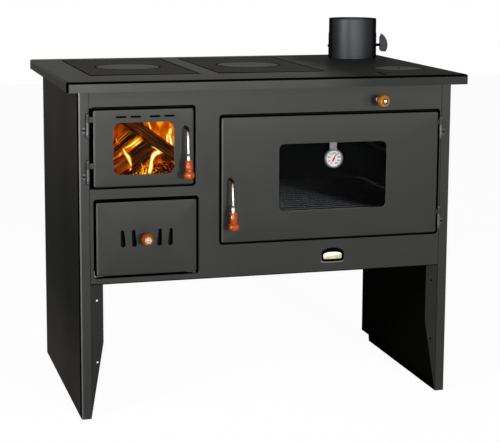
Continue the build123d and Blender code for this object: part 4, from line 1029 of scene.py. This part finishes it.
# %% Embers
(bed_left, bed_right), (bed_front, bed_rear), grate_top = (52, 262), (47, 526), 561.5
gx, gy = np.meshgrid(np.linspace(bed_left, bed_right, 90), np.linspace(bed_front, bed_rear, 130))
edge = np.minimum.reduce([gx - bed_left, bed_right - gx, gy - bed_front, bed_rear - gy])
mound = (17 + 20 * np.exp(-((gx - 235) ** 2 / 60**2 + (gy - 110) ** 2 / 60**2))
         + 10 * np.sin(gx / 29) * np.sin(gy / 43))
lumps = sum(fire_rng.uniform(0.6, 2.2) * np.sin(gx / s + fire_rng.uniform(0, 6))
            * np.sin(gy / s + fire_rng.uniform(0, 6)) for s in (2.6, 3.7, 5.1, 7.3))
height = (mound + lumps) * np.clip(edge / 12, 0, 1) ** 0.5
verts = spot(gx, gy, grate_top + np.maximum(height, 0))
heat = 0.10 + 0.025 * lumps + hotness(verts, [
    (150, 598, 22, 0.35), (115, 600, 14, 0.3), (226, 628, 6, 0.5), (196, 625, 10, 0.15),
    (165, 598, 12, 0.3)])
burning("ember_bed", verts, quads(*gx.shape, wrap=False), heat,
        (gx * 0.25, gy * 0.12, height * 0.3), ember_glow)
print("embers up to", round(height.max()), "mm above the grate")

# %% [markdown]
# A flame is a thin ribbon along a path. It is white-hot along its middle, and fades out
# at an orange edge.

# %% Flames


def flame(name, depth, strength, path):
    """Ribbon: path lists (x, z, half width) in the window; heat falls from the middle as
    1 - |u|^1.5 and fades at both ends."""
    line = curve_through(path, 10)
    tangent = unit(np.gradient(line[:, :2], axis=0))
    u = np.linspace(-1, 1, 17)
    x = line[:, :1] + tangent[:, 1:] * u * line[:, 2:]
    z = line[:, 1:2] - tangent[:, :1] * u * line[:, 2:]
    s = np.linspace(0, 1, len(line))[:, None]
    verts = seen_at(x, z, depth + 3 * np.sin(5 * s + u) + 2 * u**2)
    ends = np.clip(np.minimum(s * 9, (1 - s) * 5), 0, 1) ** 0.5
    heat = strength * (0.30 + 0.85 * (1 - abs(u) ** 1.5)) * ends
    burning(name, verts, quads(*x.shape, wrap=False), heat, (x * 0.2, z * 0.05, 0 * x), flame_glow)


for name, depth, strength, path in (
        ("main", 62, 1.0, [(163, 590, 7), (167, 608, 6.5), (170, 628, 6.5), (177, 642, 9),
            (187, 645, 7), (199, 642, 2)]),
        ("left", 66, 0.92, [(116, 600, 2), (117, 618, 4.5), (113, 634, 7.5), (106, 645, 5.5),
            (101, 655, 3.5), (98, 664, 1.5)]),
        ("low", 60, 0.74, [(145, 590, 3), (149, 603, 3.2), (146, 616, 2), (145, 624, 1)]),
        ("ember", 60, 0.74, [(155, 590, 2.5), (156, 602, 2.5), (158, 611, 1.2)]),
        ("under_log", 90, 0.84, [(100, 658, 2.5), (115, 666, 5), (130, 676, 5), (146, 689, 3)]),
        ("tip", 58, 0.90, [(200, 643, 1.2), (188, 650, 2.0), (176, 658, 1.6), (168, 662, 1)]),
        ("rear", 104, 0.88, [(214, 646, 8), (212, 664, 15), (211, 684, 12), (214, 700, 6),
            (216, 712, 2)]),
        ("rear_a", 98, 0.92, [(205, 655, 4), (207, 670, 5), (206, 684, 3.5), (209, 698, 1.5)]),
        ("rear_b", 96, 0.98, [(218, 652, 4), (216, 668, 5), (214, 682, 4), (215, 694, 2)]),
        ("high", 114, 0.78, [(166, 702, 3), (162, 712, 4), (158, 724, 3), (156, 732, 1)]),
        ("side", 80, 0.64, [(84, 626, 5), (90, 644, 7), (88, 662, 6), (82, 680, 4),
            (80, 694, 2)])):
    flame(f"flame_{name}", depth, strength, path)

# %% [markdown]
# The depth of the fire only shows as a glow between the logs, so one curved sheet behind
# them stands for it.

# %% Glow behind the logs
gx, gz = np.meshgrid(np.linspace(51, 263, 80), np.linspace(563, 734, 70))
gy = 205 - (gx - 51) / 212 * 88 + 4 * np.sin(gx / 17) + 3 * np.sin(gz / 21)
verts = spot(gx, gy, gz)
heat = 0.60 + hotness(verts, [
    (212, 672, 14, 0.34), (208, 634, 17, -0.28), (170, 622, 14, -0.2), (190, 710, 30, 0.02),
    (90, 650, 18, 0.05), (125, 672, 16, 0.28), (100, 715, 26, -0.30), (135, 712, 22, -0.25),
    (150, 600, 30, 0.05)])
burning("fire_glow", verts, quads(*gx.shape, wrap=False), heat, (gx * 0.06, gz * 0.03, gy * 0.02),
        backdrop_glow)
print("fire lit")

# %% [markdown]
# The studio is white to the camera, to reflections and through glass, but lights the
# stove little. A key lamp in front throws the soft shadows of handles and knobs to the
# left. The gloss lamps only show as reflections in metal and varnish.

# %% Background, lamps and floor


def seen_straight(tree):
    """Mask of what the camera, a reflection or a glass pane sees."""
    rays = add("LightPath", tree).outputs
    return most(rays["Is Camera Ray"], most(rays["Is Glossy Ray"], rays["Is Transmission Ray"]))


scene.world = bpy.data.worlds.new("studio")
tree = with_nodes(scene.world)
backdrop = tree.nodes["Background"].inputs
put(backdrop["Color"], 1.0)
put(backdrop["Strength"], remap(seen_straight(tree), 0, 1, 0.05, 1.0))


def lamp(name, place, target, size, power, gloss_only=True):
    """Square soft lamp at a point, turned to face another."""
    light = bpy.data.lights.new(name, "AREA")
    light.size, light.energy = size, power
    made = bpy.data.objects.new(name, light)
    back = unit(np.subtract(place, target))
    side = unit(np.cross([0, 0, 1], back))
    made.matrix_world = placed(side, np.cross(back, side), back, place)
    scene.collection.objects.link(made)
    made.visible_camera, made.visible_diffuse = False, not gloss_only


front_mid = -0.2, -0.3, 0.6
lamp("key lamp", (0.76, -4.28, 0.95), (0, -0.3, 0.6), 0.6, 78, gloss_only=False)
lamp("left lamp", (-2.35, -1.7, 1.5), (-0.3, -0.2, 0.6), 0.5, 16, gloss_only=False)
lamp("side gloss", (-2.7, -1.4, 0.8), front_mid, 0.8, 150)
lamp("front gloss", (-0.75, -3.5, 1.0), front_mid, 1.2, 160)
lamp("left spark", (-3.2, -3.0, 0.9), front_mid, 0.35, 14)
lamp("right spark", (2.1, -3.5, 0.9), front_mid, 0.35, 45)

floor_paper = bpy.data.materials.new("floor paper")
tree = with_nodes(floor_paper)
tree.nodes.clear()
matte = add("BsdfDiffuse", tree, Color=0.7).outputs[0]
glow = add("Emission", tree, Color=1.0, Strength=1.2).outputs[0]
mixed = add("MixShader", _0=times(seen_straight(tree), 0.8), _1=matte, _2=glow)
add("OutputMaterial", Surface=mixed.outputs[0])
shape("floor", [(-8, -8, 0), (8, -8, 0), (8, 8, 0), (-8, 8, 0)], [(0, 1, 2, 3)],
               floor_paper)
